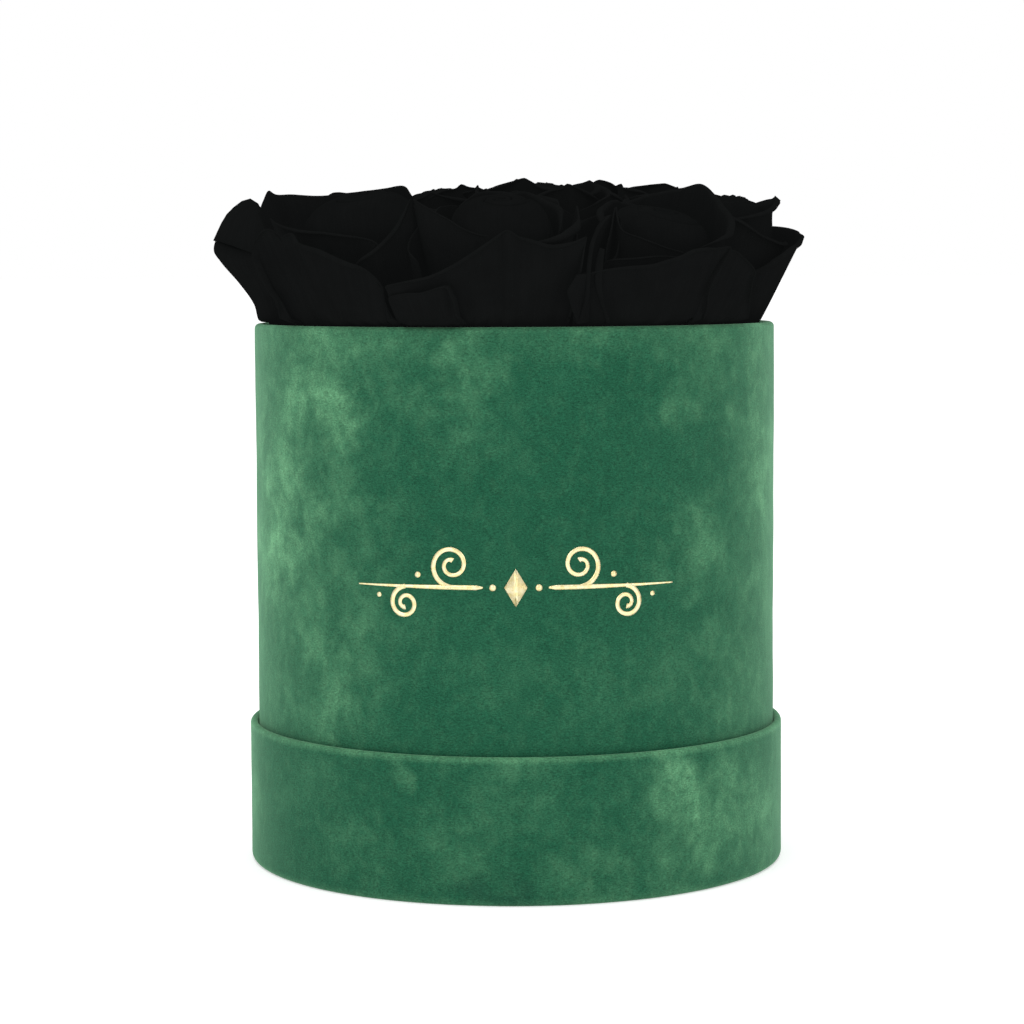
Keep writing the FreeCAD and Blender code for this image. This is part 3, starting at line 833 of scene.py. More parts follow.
def shell(P, thick):
    """A closed skin of that thickness round a grid of points, thinner at its free edges."""
    n, m = P.shape[:2]
    du, dv = np.gradient(P, axis=0), np.gradient(P, axis=1)
    N = np.cross(du, dv)
    N /= np.maximum(np.linalg.norm(N, axis=2, keepdims=True), 1e-9)
    e = np.ones((n, m))
    e[0], e[-1] = 0.45, 0.45
    e[:, -1] = 0.5
    half = 0.5 * thick * e[..., None]
    verts = np.concatenate([(P + N * half).reshape(-1, 3), (P - N * half).reshape(-1, 3)])
    o = n * m
    idx = np.arange(o).reshape(n, m)
    a, b, c, d = idx[:-1, :-1], idx[1:, :-1], idx[1:, 1:], idx[:-1, 1:]
    top = np.stack([a, b, c, d], -1).reshape(-1, 4)
    bottom = np.stack([d, c, b, a], -1).reshape(-1, 4) + o
    edge = np.concatenate([idx[:, 0], idx[-1, 1:], idx[-2::-1, -1], idx[0, -2:0:-1]])
    nxt = np.roll(edge, -1)
    rim = np.stack([nxt, edge, edge + o, nxt + o], -1)
    return verts, np.concatenate([top, bottom, rim])


def tip_rim(rng, angle, half, rho, flare, s_tip, drop, roll=1.1):
    """The rim of an ordinary petal: a blunt point in the middle, falling to both sides, with rolled edges."""
    points = []
    for u in (-1.0, -0.8, -0.55, -0.28, -0.1, 0.0, 0.1, 0.28, 0.55, 0.8, 1.0):
        a = abs(u)
        s = s_tip - 0.16 * drop * (1 - math.exp(-a / 0.12)) - 0.84 * drop * a**2.1 + rng.uniform(-0.45, 0.45)
        side = math.sin(math.pi * min(a * 1.15, 1.0))
        points.append(
            (
                angle + half * u,
                rho + flare * (0.25 + 0.75 * side) - 0.8 * a * a + rng.uniform(-0.35, 0.35),
                s,
                roll * (0.5 + 0.6 * side),
                70 + 90 * side + rng.uniform(-20, 20),
            )
        )
    return points


def stretch(grid, factor):
    """Petals pressed between neighbours spread sideways, the more the lower they are."""
    P, u, v = grid
    P = P.copy()
    P[..., 1] *= 1 + (factor - 1) * np.clip((P[..., 2] - 12.0) / 12.0, 0, 1)
    return P, u, v


def shifted(grid, shift):
    """Moves the upper part of a petal sideways; its foot stays in the calyx."""
    P, u, v = grid
    P = P.copy()
    w = np.clip((P[..., 2] - 12.0) / 28.0, 0, 1)
    w = w * w * (3 - 2 * w)
    P[..., 0] += shift[0] * w
    P[..., 1] += shift[1] * w
    return P, u, v


def common_petals(kind, rng, ball=None, top=67.3, shift=(0.0, 0.0), bare=0.0, high=0.0, reach=0.0, face=None):
    """Petals of an ordinary rose, from the bud outwards, as grids. No petals but the bud's within the bare angle to either side of the front."""
    grids = []
    big = kind == "outer"
    ball = ball or (15.6 if big else 13.2)
    start = rng.uniform(0, 360) if face is None else face - 137.5 * 8
    drift = np.random.default_rng(int(start) % 1000)
    oval = drift.uniform(0, 6.28)
    for i, (share, edge) in enumerate(
        ((0.16, 85), (0.29, 83), (0.41, 80.5), (0.53, 78), (0.64, 75), (0.745, 72), (0.84, 69.5), (0.925, 67), (1.0, 65))
    ):
        f = i / 8.0
        sway, swing = rng.uniform(-4, 4), rng.uniform(0, 6.28)
        half, wave, twist = 112 - 16 * f, 1.3, 0.2 + 0.3 * f
        H = (top - 50.0) * (1.0 - 0.012 * f)
        if face is not None:
            # from outside this bud is a smooth dome: the last two petals close over the others
            sway, wave = 0.2 * sway, 0.3
            edge, half = {7: (80.0, 108.0), 8: (87.5, 120.0)}.get(i, (edge, half))
            H *= 1.0 if i > 6 else 0.955
            twist = 0.15 if i > 6 else twist

        def upper(u, edge=edge, sway=sway, swing=swing, f=f, wave=wave):
            return np.minimum(edge + sway * u * f - 13 * f * np.abs(u) ** 2.5 + wave * f * np.sin(5 * u + swing), 88)

        grid = bud_petal(ball * share, H, 50.0, start + 137.5 * i, half, -58, upper, twist, int(rng.integers(1e6)), oval)
        aside = drift.uniform(-0.04, 0.04, 2) * ball * (1 - 0.7 * f)
        grids.append(shifted(grid, np.add(shift, aside)))
    if face is not None:
        grids.append(shifted(hood(ball, top - 50.2, 50.0, face, oval, int(start) % 1000), shift))
    layers = (
        # petals, radius, flare, tip height, drop, half-width, cup, sideways stretch
        (3, 17.4 if big else 15.0, 0.7, 64.5, 8.0, 74, 0.45, 1.0),
        (4, 20.0 if big else 17.4, 1.2, 63.0, 9.0, 62, 0.5, 1.08),
        (5, 23.2 if big else 20.0, 2.2, 61.0, 10.0, 54, 0.5, 1.22),
    )
    for k, (count, rho, flare, tip, drop, half, cup, wide) in enumerate(layers):
        turn = rng.uniform(0, 360)
        for i in range(count):
            angle = turn + 360.0 / count * (i + rng.uniform(-0.12, 0.12))
            if abs((angle + 180) % 360 - 180) < bare:
                continue
            rim = tip_rim(
                rng, angle, half * rng.uniform(0.92, 1.08), rho + 0.5 * (i % 2) - 0.2 + reach * k / 2, flare, tip + high + rng.uniform(-1.5, 1.5), drop
            )
            grids.append(stretch(petal(rim, int(rng.integers(1e6)), cup=cup, belly=0.6 if k < 2 else 0.0, narrow=0.62), wide if big else 1.0))
    return grids


def bloom(name, grids, thick=0.5):
    verts, faces, across, along, ident = [], [], [], [], []
    start = 0
    for i, (P, u, v, *loose) in enumerate(grids):
        w = to_frame(name, P)
        w = w if True in loose else tuck(name, w, *loose)
        pv, pf = shell(w, thick)
        verts.append(pv)
        faces.append(pf + start)
        start += len(pv)
        across += [u.ravel(), u.ravel()]
        along += [v.ravel(), v.ravel()]
        ident.append(np.full(len(pv), float(i)))
    piece = new_piece(
        name + "_petals",
        np.concatenate(verts),
        np.concatenate(faces).tolist(),
        {"across": np.concatenate(across), "along": np.concatenate(along), "petal": np.concatenate(ident)},
    )
    cover(piece, PETAL)
    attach(piece, name)
    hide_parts(name + "_bloom")
    return piece


def outermost(name, petals, phi, s):
    """Distance from the rose's axis to its outermost petal, at each angle and height."""
    base, out, side, up = rose_axes(name)
    q = np.array([vertex.co for vertex in petals.data.vertices]) * 1000.0 - base
    h = q @ up
    low = h < 26.0
    x, y, h = q[low] @ out, q[low] @ side, h[low]
    r, a = np.hypot(x, y), np.arctan2(y, x)
    found = np.zeros(phi.shape)
    for i in np.ndindex(phi.shape):
        turn = (a - phi[i] + np.pi) % (2 * np.pi) - np.pi
        near = (np.abs(h - s[i]) < 1.3) & (np.abs(turn) < 0.2)
        found[i] = r[near].max() if near.any() else 0.0
    return found


def green_parts(name, seed, petals):
    """Calyx with five sepals, and the stem with its nodes and slanting cut."""
    rng = np.random.default_rng(seed)
    n = 24
    theta = np.linspace(0, 2 * np.pi, n, endpoint=False)
    # stem, inside the hole that it fills
    rows = np.concatenate([np.linspace(-44.6, -40, 4), np.linspace(-38, 0.3, 22)])
    verts, faces = [], []
    knots = [(-30.0 + rng.uniform(-4, 4), 0.16), (-9.0 + rng.uniform(-3, 3), 0.2)]
    for s in rows:
        r = 2.26 + sum(h * math.exp(-(((s - k) / 1.6) ** 2)) for k, h in knots)
        ribs = 0.035 * np.sin(5 * theta + 0.02 * s) + 0.02 * np.sin(9 * theta)
        cut = np.where(s < -43.0, 0.9 * np.cos(theta) * (r / 2.3), 0.0)
        verts.append(np.column_stack([(r + ribs) * np.cos(theta), (r + ribs) * np.sin(theta), s + cut]))
    m = len(rows)
    for k in range(m - 1):
        for i in range(n):
            j = (i + 1) % n
            faces.append((k * n + i, k * n + j, (k + 1) * n + j, (k + 1) * n + i))
    faces.append(tuple(range(n))[::-1])
    faces.append(tuple(range((m - 1) * n, m * n)))
    local = np.concatenate(verts)
    stem = new_piece(name + "_stalk", to_frame(name, local), faces)
    cover(stem, STEM)
    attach(stem, name)
    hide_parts(name + "_stem")

    # calyx: a ribbed cup closed at both ends
    verts, faces = [], []
    prof = [(2.3, 0.2), (3.3, 0.05), (4.6, 1.2), (6.0, 2.8), (6.35, 4.0), (6.0, 5.6), (5.2, 7.4), (4.4, 8.6), (3.2, 9.2)]
    for r, s in prof:
        rr = r * (1 + 0.025 * np.cos(5 * theta) + 0.012 * np.cos(10 * theta + 1))
        verts.append(np.column_stack([rr * np.cos(theta), rr * np.sin(theta), np.full(n, s)]))
    m = len(prof)
    for k in range(m - 1):
        for i in range(n):
            j = (i + 1) % n
            faces.append((k * n + i, k * n + j, (k + 1) * n + j, (k + 1) * n + i))
    faces.append(tuple(range(n))[::-1])
    faces.append(tuple(range((m - 1) * n, m * n)))
    local = [np.concatenate(verts)]
    start = len(local[0])
    turn = rng.uniform(0, 72)
    for i in range(5):
        # a sepal lies against the petals and lifts off at its tip
        length = 17.0 + rng.uniform(-1.5, 2.0)
        nu, nv = 9, 12
        u = np.linspace(-1, 1, nu)[:, None]
        v = np.linspace(0, 1, nv)[None, :]
        width = 3.1 * (1 - v**2.2) * (0.75 + 0.5 * v) + 0.12
        s = 4.6 + length * v - 2.4 * v**3
        rho = 6.1 + 0.36 * (s - 4.6) + 1.9 * v**3 + 0.35 * (1 - u * u) * (1 - v)
        phi = np.radians(turn + 72 * i) + u * width / rho
        need = outermost(name, petals, phi, s + 0 * u).max(0) + 0.5
        lift = np.pad(np.maximum(need - rho.min(0), 0.0), 1, mode="edge")
        lift = np.maximum(lift[1:-1], 0.5 * (lift[:-2] + lift[2:]))
        rho = rho + np.minimum(lift, 4.0)[None, :]
        P = np.stack([rho * np.cos(phi), rho * np.sin(phi), s + 0 * u], -1)
        pv, pf = shell(P, 0.45)
        local.append(pv)
        faces += [tuple(int(x) for x in f + start) for f in pf]
        start += len(pv)
    piece = new_piece(name + "_sepals", tuck(name, to_frame(name, np.concatenate(local)), gap=0.3), faces)
    cover(piece, CALYX)
    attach(piece, name)
    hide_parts(name + "_calyx")


# The petals that show at the front, by their rims: angle about the rose's axis, distance from it, height along it,
# radius of the rolled lip, and how far it rolls. Leaves go by their profiles, and strips by their middle line and width.
FRONT = {
    "front_rose": {
        "apron": [
            (-62, 30.0, 35.3, 0.5, 80), (-59, 33.4, 42.2, 0.9, 150), (-59, 36.8, 46.5, 0.6, 90), (-51, 33.0, 48.9, 0.8, 110),
            (-39, 28.7, 51.1, 1.0, 140), (-26, 25.4, 54.7, 1.1, 150), (-10, 22.9, 59.5, 1.1, 150), (3, 22.1, 62.8, 0.9, 120),
            (9, 23.4, 64.5, 0.8, 90), (17, 22.5, 62.1, 0.9, 120), (27, 22.5, 60.7, 1.0, 150), (39, 24.1, 58.9, 1.0, 150),
            (52, 27.1, 59.1, 0.8, 120), (59, 30.1, 60.2, 0.6, 80), (60, 30.3, 55.1, 0.3, 40), (59, 30.3, 49.1, 0.3, 40),
            (59, 29.3, 41.6, 0.3, 30), (60, 27.5, 34.6, 0.3, 30),
        ],
        "small_fold": [
            (-61, 32.2, 35.5, 0.3, 30), (-59, 35.2, 41.3, 0.3, 40), (-55, 35.8, 44.6, 0.4, 60), (-50, 34.0, 45.7, 0.4, 70),
            (-40, 31.0, 46.8, 0.5, 90), (-32, 29.0, 48.5, 0.6, 110), (-28, 28.1, 48.9, 0.8, 150), (-25, 27.3, 45.9, 1.0, 160),
            (-24, 25.4, 41.6, 1.0, 150), (-24, 22.3, 36.9, 0.6, 90),
        ],
        "left": [
            (-90, 19.5, 40.0, 0.2, 30), (-88, 19.9, 44.7, 0.3, 40), (-85, 20.6, 48.9, 0.3, 40), (-83, 21.3, 53.4, 0.3, 40),
            (-80, 22.1, 57.9, 0.3, 50), (-78, 22.9, 62.3, 0.3, 50), (-76, 23.8, 65.8, 0.4, 60), (-73, 24.9, 69.0, 0.5, 80),
            (-64, 22.6, 67.8, 0.6, 90), (-56, 19.4, 65.7, 0.6, 100), (-46, 16.6, 63.3, 0.6, 100), (-30, 15.0, 61.3, 0.6, 100), (4, 14.2, 59.6, 0.5, 80),
        ],
        "right": [
            (31, 15.8, 57.0, 0.3, 40), (44, 17.9, 58.6, 1.0, 150), (60, 20.2, 59.8, 1.3, 180), (77, 22.3, 61.8, 1.3, 180),
            (95, 24.7, 64.1, 0.8, 110), (86, 25.9, 60.5, 0.4, 60), (75, 27.1, 53.8, 0.3, 40),
        ],
    },
    "front_left_rose": {
        "apron": [
            (-40, 23.8, 36.1, 0.6, 90), (-26, 24.5, 43.8, 0.9, 150), (-29, 26.1, 48.6, 0.9, 160), (-30, 27.6, 55.3, 1.0, 170),
            (-31, 27.0, 60.6, 1.0, 170), (-29, 25.2, 63.8, 0.8, 140), (-22, 23.2, 65.1, 0.6, 100), (-17, 22.1, 63.5, 0.4, 60),
            (-15, 21.3, 62.1, 0.3, 60), (-5, 21.5, 63.2, 0.5, 90), (6, 22.4, 63.8, 0.7, 120), (13, 23.4, 61.8, 0.9, 150),
            (32, 26.6, 59.3, 1.1, 160), (47, 31.3, 55.0, 1.1, 160), (54, 33.5, 52.4, 0.9, 130), (60, 35.1, 46.5, 0.5, 80),
            (60, 33.6, 42.0, 0.4, 60), (62, 32.6, 36.7, 0.3, 40), (65, 33.5, 34.6, 0.3, 30),
        ],
        "second": [
            (-58, 22.7, 65.8, 0.4, 60), (-22, 16.1, 63.4, 0.8, 140), (22, 15.4, 61.9, 0.8, 140), (55, 21.2, 59.7, 0.8, 130),
            (66, 25.5, 57.2, 0.6, 90), (67, 28.1, 51.8, 0.3, 40),
        ],
        "right": [
            (46, 27.4, 51.3, 0.3, 40), (54, 27.5, 54.3, 0.8, 140), (61, 28.2, 55.8, 0.9, 150), (70, 29.0, 58.3, 0.9, 150),
            (76, 30.4, 61.0, 0.9, 150), (81, 32.2, 64.7, 0.7, 120), (85, 34.0, 67.7, 0.5, 80), (87, 33.1, 63.9, 0.4, 60),
            (89, 32.1, 60.4, 0.3, 50), (90, 31.0, 56.0, 0.3, 40), (92, 29.9, 51.6, 0.3, 40), (94, 28.9, 47.5, 0.3, 40),
            (96, 27.9, 43.3, 0.3, 30), (96, 27.0, 39.1, 0.3, 30),
        ],
        "back": [
            (-67, 28.1, 66.8, 0.3, 40), (-74, 27.4, 69.6, 0.3, 50), (-80, 27.0, 72.0, 0.3, 50), (-86, 27.1, 70.0, 0.4, 60),
            (-94, 24.1, 68.9, 0.5, 80), (-114, 22.2, 66.2, 0.5, 80), (-138, 19.9, 65.3, 0.5, 80), (-156, 21.3, 64.7, 0.5, 80),
            (-168, 22.0, 64.6, 0.5, 80), (-184, 23.0, 64.7, 0.5, 80), (-204, 21.6, 62.1, 0.3, 50),
        ],
        "side_fold": [
            (-44, 24.0, 38.0, 0.4, 60), (-60, 26.5, 44.0, 0.7, 120), (-84, 27.5, 50.5, 0.9, 140), (-110, 26.5, 55.0, 0.9, 140),
            (-138, 24.0, 56.5, 0.7, 110), (-162, 21.0, 54.0, 0.4, 60),
        ],
    },
    "front_right_rose": {
        "apron": [
            (-74, 37.4, 33.9, 0.3, 30), (-77, 42.3, 42.3, 0.5, 60), (-76, 41.6, 47.5, 0.5, 80), (-71, 39.4, 48.8, 0.6, 100),
            (-66, 36.8, 50.4, 0.8, 120), (-57, 33.6, 52.3, 0.9, 140), (-46, 30.8, 54.0, 1.0, 150), (-39, 29.2, 55.9, 1.0, 150),
            (-32, 27.8, 57.3, 1.0, 150), (-24, 26.4, 59.2, 1.0, 140), (-17, 25.9, 60.0, 1.0, 130), (-7, 25.2, 59.8, 0.8, 110),
            (5, 25.6, 60.2, 0.6, 90), (1, 25.1, 56.6, 1.0, 160), (-3, 24.2, 50.9, 1.1, 170), (-3, 22.8, 45.1, 1.1, 170),
            (9, 20.0, 36.0, 0.7, 110),
        ],
        "right_fold": [
            (-6, 18.6, 34.0, 0.3, 30), (-6, 19.8, 44.0, 0.3, 40), (-4, 21.6, 53.0, 0.3, 40), (5, 22.8, 57.8, 0.4, 60), (15, 23.4, 58.5, 0.5, 80),
            (23, 25.3, 56.9, 0.6, 100), (34, 27.5, 52.3, 0.8, 140), (43, 27.7, 45.7, 0.9, 150), (58, 29.7, 35.0, 0.6, 90),
        ],
        "left": [
            (-65, 25.4, 34.7, 0.2, 30), (-72, 26.6, 43.8, 0.2, 40), (-78, 26.4, 51.9, 0.3, 50), (-84, 23.1, 59.9, 0.4, 60),
            (-92, 19.9, 64.3, 0.5, 80), (-76, 22.1, 59.5, 0.5, 80), (-60, 20.7, 58.4, 0.6, 100), (-41, 19.8, 57.1, 0.6, 100),
            (-24, 20.2, 56.4, 0.5, 70),
        ],
        "left_face": [
            (-78, 32.4, 47.2, 0.3, 40), (-82, 31.1, 54.8, 0.4, 60), (-85, 28.2, 59.0, 0.5, 90), (-89, 23.4, 61.7, 0.6, 100),
            (-90, 18.3, 61.6, 0.5, 80), (-80, 20.8, 57.2, 0.3, 50), (-74, 23.5, 53.0, 0.3, 40), (-73, 28.0, 48.9, 0.3, 30),
        ],
        "strip_long": [
            (-86, 24.0, 62.4, 0.5), (-80, 31.0, 59.7, 1.1), (-75, 37.2, 55.8, 1.3), (-72, 40.0, 50.4, 1.3), (-70, 40.4, 43.6, 1.2),
            (-71, 39.2, 38.6, 1.2), (-73, 38.4, 33.0, 1.3),
        ],
        "strip_short": [
            (-71, 35.6, 55.6, 1.6), (-69, 38.0, 51.4, 2.4), (-67, 38.9, 46.2, 2.2), (-65, 36.6, 40.8, 1.4), (-62, 32.0, 34.0, 1.3),
        ],
        "side_fold": [
            (44, 25.0, 36.0, 0.4, 60), (58, 27.5, 42.0, 0.7, 120), (82, 28.0, 47.5, 0.9, 140), (108, 26.5, 52.5, 0.9, 140),
            (136, 24.0, 55.0, 0.7, 110), (160, 21.0, 53.0, 0.4, 60),
        ],
        "second": [
            (-72, 32.8, 47.5, 0.3, 40), (-69, 32.4, 51.9, 0.5, 100), (-56, 29.3, 54.2, 0.7, 120), (-43, 26.9, 55.8, 0.5, 90),
            (-27, 24.6, 56.2, 0.3, 60),
        ],
        "right": [
            (135, 20.8, 65.3, 0.4, 60), (124, 19.6, 67.6, 0.6, 90), (110, 18.3, 69.9, 0.6, 90), (93, 17.1, 68.6, 0.8, 130),
            (72, 16.2, 66.9, 1.0, 160), (50, 17.8, 64.6, 1.0, 160), (29, 18.8, 62.1, 1.0, 160), (13, 17.6, 59.9, 0.8, 120),
            (-5, 17.5, 57.8, 0.4, 60),
        ],
        "back": [
            (-165, 17.8, 58.9, 0.4, 60), (-188, 19.8, 60.4, 0.6, 100), (-203, 19.7, 62.7, 0.7, 120), (-221, 18.9, 65.4, 0.7, 120),
            (-238, 19.9, 67.1, 0.5, 80),
        ],
    },
    "left_rose": {
        "leaf_low": [
            (-88, [(4.2, 9), (13, 23), (19.4, 34.5), (20.2, 39), (22.2, 44.5), (23.6, 49), (24.2, 52.4), (23.0, 55.0)]),
            (-46, [(4.2, 9), (13.5, 24), (19.3, 35.5), (19.6, 41), (21.8, 48), (24.2, 54.6), (25.0, 58.2), (23.6, 60.8)]),
            (0, [(4.2, 9), (13.5, 24), (19.3, 36), (19.2, 41), (21.8, 49), (25.2, 57.0), (26.2, 60.6), (24.6, 63.8)]),
            (38, [(4.2, 9), (13.5, 24), (19.3, 35.5), (19.5, 41), (21.7, 48), (24.0, 53.0), (24.4, 55.9), (22.6, 58.4)]),
            (60, [(4.2, 9), (13, 23.5), (18.4, 34), (20.2, 40), (22.1, 46), (23.8, 50.0), (24.0, 52.4), (22.4, 54.8)]),
            (84, [(4.2, 9), (13, 23), (18.5, 32), (20.5, 38), (22.2, 43.4), (23.4, 47.4), (23.8, 49.6), (22.4, 51.6)]),
        ],
        "leaf_over": [
            (-76, [(4.2, 9), (12.5, 30), (14.5, 46), (14.6, 56), (15.0, 60.6), (16.6, 62.6), (19.0, 61.4), (21.0, 57.6)]),
            (-40, [(4.2, 9), (12.5, 30), (14.5, 48), (12.6, 60), (10.8, 67.0), (13.0, 70.0), (18.6, 67.6), (23.6, 61.8)]),
            (-10, [(4.2, 9), (12.5, 30), (14.5, 48), (12.0, 60.5), (8.8, 68.8), (10.8, 71.9), (17.4, 70.4), (25.0, 63.3)]),
            (16, [(4.2, 9), (12.5, 30), (14.5, 48), (12.0, 60.5), (8.8, 68.8), (10.8, 71.9), (17.6, 70.2), (25.3, 63.0)]),
            (38, [(4.2, 9), (12.5, 30), (14.5, 48), (12.6, 60), (10.4, 67.2), (12.6, 70.2), (18.6, 67.4), (25.0, 60.2)]),
            (58, [(4.2, 9), (12.5, 30), (14.5, 46), (13.6, 58), (12.6, 64.0), (14.8, 66.8), (19.4, 63.0), (23.4, 55.2)]),
            (80, [(4.2, 9), (12.5, 30), (14.5, 44), (14.6, 54), (14.8, 59.0), (16.4, 61.0), (19.4, 57.0), (21.8, 50.6)]),
        ],
    },
    "right_rose": {
        "apron": [
            (-104, 24.0, 39.0, 0.5, 80), (-84, 23.4, 43.2, 0.9, 140), (-68, 22.6, 47.0, 1.2, 150), (-58, 22.1, 50.3, 1.3, 150),
            (-48, 21.8, 54.1, 1.3, 150), (-38, 21.5, 57.0, 1.2, 150), (-28, 21.0, 59.3, 1.1, 140), (-18, 20.8, 61.1, 0.9, 130),
            (-6, 21.0, 62.6, 0.7, 90), (8, 20.8, 63.2, 0.7, 100), (24, 20.6, 63.8, 0.8, 130), (44, 20.6, 63.8, 0.9, 140),
            (64, 21.2, 62.4, 0.9, 140), (86, 22.4, 58.6, 0.6, 90),
        ],
        "leaf_mid": [
            (-124, [(4.2, 9), (13.5, 28), (17.0, 42), (17.8, 51), (17.6, 56.6), (18.2, 58.4), (19.6, 57.6)]),
            (-92, [(4.2, 9), (13.5, 28), (17.0, 42), (17.6, 53), (17.2, 60.0), (17.8, 61.8), (19.2, 61.0)]),
            (-60, [(4.2, 9), (13.5, 28), (17.0, 42), (17.4, 52), (17.0, 57.8), (17.6, 59.5), (18.9, 58.7)]),
            (-28, [(4.2, 9), (13.5, 28), (16.6, 42), (17.0, 52), (16.8, 57.4), (17.2, 59.0), (18.4, 58.3)]),
            (4, [(4.2, 9), (13.5, 28), (16.4, 42), (16.6, 52), (16.4, 58.0), (16.8, 59.8), (17.8, 59.3)]),
        ],
        "leaf_inner": [
            (-90, [(4.2, 9), (12.5, 30), (15.0, 44), (15.6, 54), (15.4, 59.6), (16.2, 61.8), (17.2, 61.2)]),
            (-52, [(4.2, 9), (12.5, 30), (14.5, 46), (13.8, 58), (12.8, 64.6), (13.6, 67.0), (15.0, 66.3)]),
            (-22, [(4.2, 9), (12.5, 30), (14.0, 48), (12.2, 60.5), (10.4, 68.0), (10.7, 70.8), (12.2, 69.9)]),
            (2, [(4.2, 9), (12.5, 30), (14.0, 48), (12.0, 60.5), (9.8, 68.8), (10.0, 72.0), (11.6, 71.0)]),
            (28, [(4.2, 9), (12.5, 30), (14.0, 48), (12.0, 60.5), (10.2, 68.2), (10.6, 71.1), (12.1, 70.3)]),
            (62, [(4.2, 9), (12.5, 30), (14.5, 47), (13.0, 59.5), (11.8, 66.6), (12.6, 69.4), (14.0, 68.8)]),
            (100, [(4.2, 9), (12.5, 30), (15.0, 45), (14.8, 56), (14.6, 62.0), (15.4, 64.2), (16.6, 63.6)]),
        ],
    },
}
# A corner of the right front rose's lowest petal, that lies outside the petal of the middle one: its free edge, and where it joins.
CORNER = (
    [(17.4, -83.6, 180.2), (16.0, -83.5, 177.8), (14.8, -83.3, 175.6), (15.3, -82.6, 173.3), (16.0, -81.6, 170.8), (16.9, -79.6, 168.2), (17.7, -77.9, 166.2)],
    [(21.2, -82.5, 180.4), (21.2, -81.8, 177.8), (21.2, -80.8, 175.5), (21.3, -78.7, 173.2), (21.3, -77.0, 170.7), (21.4, -74.9, 168.1), (21.4, -73.7, 166.5)],
)
HABIT = {
    # ball radius, top, shift of the bud outwards and sideways, where only the petals above stand, and where the bud's closing petal faces
    "front_rose": dict(ball=15.6, top=66.4, bare=105.0, face=3.0),
    "front_left_rose": dict(ball=18.0, top=67.2, shift=(-2.5, 3.0), bare=150.0, high=-3.0, face=40.0),
    "front_right_rose": dict(ball=15.2, top=62.8, shift=(-1.0, -1.0), bare=150.0, high=-3.0, face=-30.0),
    "left_rose": dict(ball=12.4, top=67.4, bare=110.0, high=0.5, seed=507),
    "right_rose": dict(ball=11.5, top=68.6, bare=105.0, high=2.0, seed=518),
    "back_right_rose": dict(top=70.0, high=5.0, seed=504),
    "middle_front_rose": dict(top=65.5, high=2.0, seed=522),
    "middle_back_rose": dict(top=65.5, high=2.0, seed=521),
    "middle_left_rose": dict(top=64.5, high=0.5, seed=524),
}

# Petals that stand behind the lowest one of the three front roses, lower than its edge: which points of that edge they follow,
# and then how far out from the bud they stand, how much lower, and which part of those points they take.
INNER = {"front_rose": (3, 13), "front_left_rose": (5, 15), "front_right_rose": (3, 13)}
NESTED = ((0.56, 3.6, 0, 7), (0.48, 4.6, 4, 10), (0.24, 6.4, 1, 9))


def nested(rim, ball, shift, share, drop, rng):
    """The rim of a petal part of the way from the bud to another petal's rim."""
    points = []
    for k, (angle, rho, s, *_) in enumerate(rim):
        a, u = math.radians(angle), abs(2 * k / (len(rim) - 1) - 1)
        near = ball + shift[0] * math.cos(a) + shift[1] * math.sin(a) + 1.2
        rho = near + (rho - near) * share + rng.uniform(-0.3, 0.3)
        points.append((angle, rho, s - drop - 3.0 * u**3 + rng.uniform(-0.4, 0.4), 0.75 - 0.4 * u, 120 - 60 * u))
    return points


for number, (name, (kind, azimuth)) in enumerate(ROSES.items()):
    habit = dict(HABIT.get(name, {}))
    rng = np.random.default_rng(habit.pop("seed", 500 + number))
    grids = common_petals(kind, rng, **habit)
    for i, (label, rim) in enumerate(FRONT.get(name, {}).items()):
        if label == "leaf_low":
            grids.append((*leaf(rim, 40 * number + i, nv=129), 24.0))
            continue
        if label.startswith("leaf"):
            grids.append(leaf(rim, 40 * number + i))
            continue
        if label.startswith("strip"):
            grids.append(strip(rim))
            continue
        open_out = "apron" in label or "fold" in label
        clear, wide, crease = (0.0, 0.86, 0.75) if open_out else (17.0, 0.7, 0.35)
        grids.append(petal(rim, 40 * number + i, cup=0.44, narrow=wide, clear=clear, crease=crease, nu=65, nv=23))
    for i, (share, drop, first, last) in enumerate(NESTED if name in INNER else ()):
        rim = FRONT[name]["apron"][slice(*INNER[name])][first:last]
        rim = nested(rim, habit["ball"], habit.get("shift", (0.0, 0.0)), share, drop, np.random.default_rng(700 + 10 * number + i))
        grids.append(petal(rim, 40 * number + 20 + i, cup=0.44, narrow=0.8, crease=0.35, nu=49, nv=17))
    if name == "front_right_rose":
        grids.append((*flap(name, *CORNER), True))
    green_parts(name, 900 + number, bloom(name, grids))

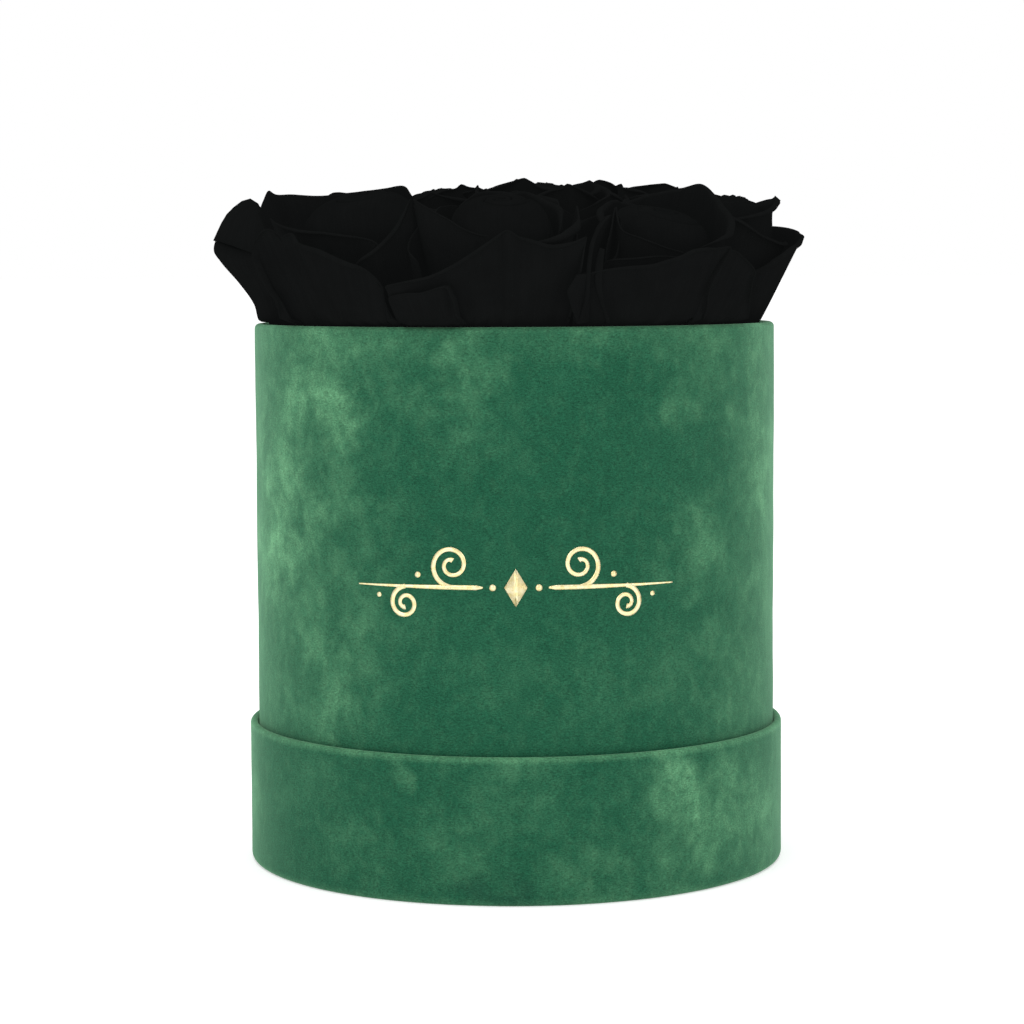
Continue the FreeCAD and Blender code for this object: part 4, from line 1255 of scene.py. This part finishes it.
# ---------------------------------------------------------------------------
# CAD pieces that keep their own shape
# ---------------------------------------------------------------------------
for node in ("lid_top_board", "lid_skirt_board", "box_base_board", "box_wall_board"):
    cover(nodes[node], GREY_BOARD)
for node in ("lid_lining_disc", "lid_lining_band", "box_lining_disc", "box_lining_band"):
    cover(nodes[node], LINING)
for node in ("lower_foam", "upper_foam"):
    cover(nodes[node], FOAM)

# ---------------------------------------------------------------------------
# Studio
# ---------------------------------------------------------------------------
world = bpy.data.worlds.new("studio")
scene.world = world
world.use_nodes = True
back = world.node_tree.nodes["Background"]
back.inputs["Color"].default_value = (1.0, 1.0, 1.0, 1.0)
back.inputs["Strength"].default_value = 1.0

floor_mesh = bpy.data.meshes.new("floor")
floor_mesh.from_pydata([(-60, -60, 0), (60, -60, 0), (60, 60, 0), (-60, 60, 0)], [], [(0, 1, 2, 3)])
floor = bpy.data.objects.new("floor", floor_mesh)
scene.collection.objects.link(floor)
t = Tree("floor")
t.const(Base_Color=(0.8, 0.8, 0.8, 1.0), Roughness=1.0, Specular_IOR_Level=0.0, Emission_Color=(1, 1, 1, 1), Emission_Strength=0.36)
cover(floor, t.material)


def area(name, place, target, size, power, colour=(1, 1, 1)):
    lamp = bpy.data.lights.new(name, "AREA")
    lamp.shape, lamp.size, lamp.energy, lamp.color = "DISK", size, power, colour
    obj = bpy.data.objects.new(name, lamp)
    scene.collection.objects.link(obj)
    obj.location = place
    obj.rotation_euler = (Vector(target) - Vector(place)).to_track_quat("-Z", "Y").to_euler()


area("key", (-0.9, -1.0, 1.1), (0, 0, 0.1), 0.9, 4.0)
area("fill", (1.1, -0.8, 0.8), (0, 0, 0.1), 0.9, 2.0)
area("top", (0.0, 0.1, 1.6), (0, 0, 0.1), 1.0, 7.0)

camera = bpy.data.cameras.new("camera")
camera.sensor_width, camera.lens = 36.0, 102.25
camera.clip_start, camera.clip_end = 0.05, 50.0
cam = bpy.data.objects.new("camera", camera)
scene.collection.objects.link(cam)
cam.matrix_world = (
    Matrix.Translation((-0.001, -0.9014, 0.1822))
    @ Matrix.Rotation(math.radians(90 - 4.806), 4, "X")
    @ Matrix.Rotation(math.radians(-0.25), 4, "Z")
)
scene.camera = cam
scene.view_settings.view_transform = "Standard"
scene.view_settings.look = "None"

bpy.context.view_layer.update()
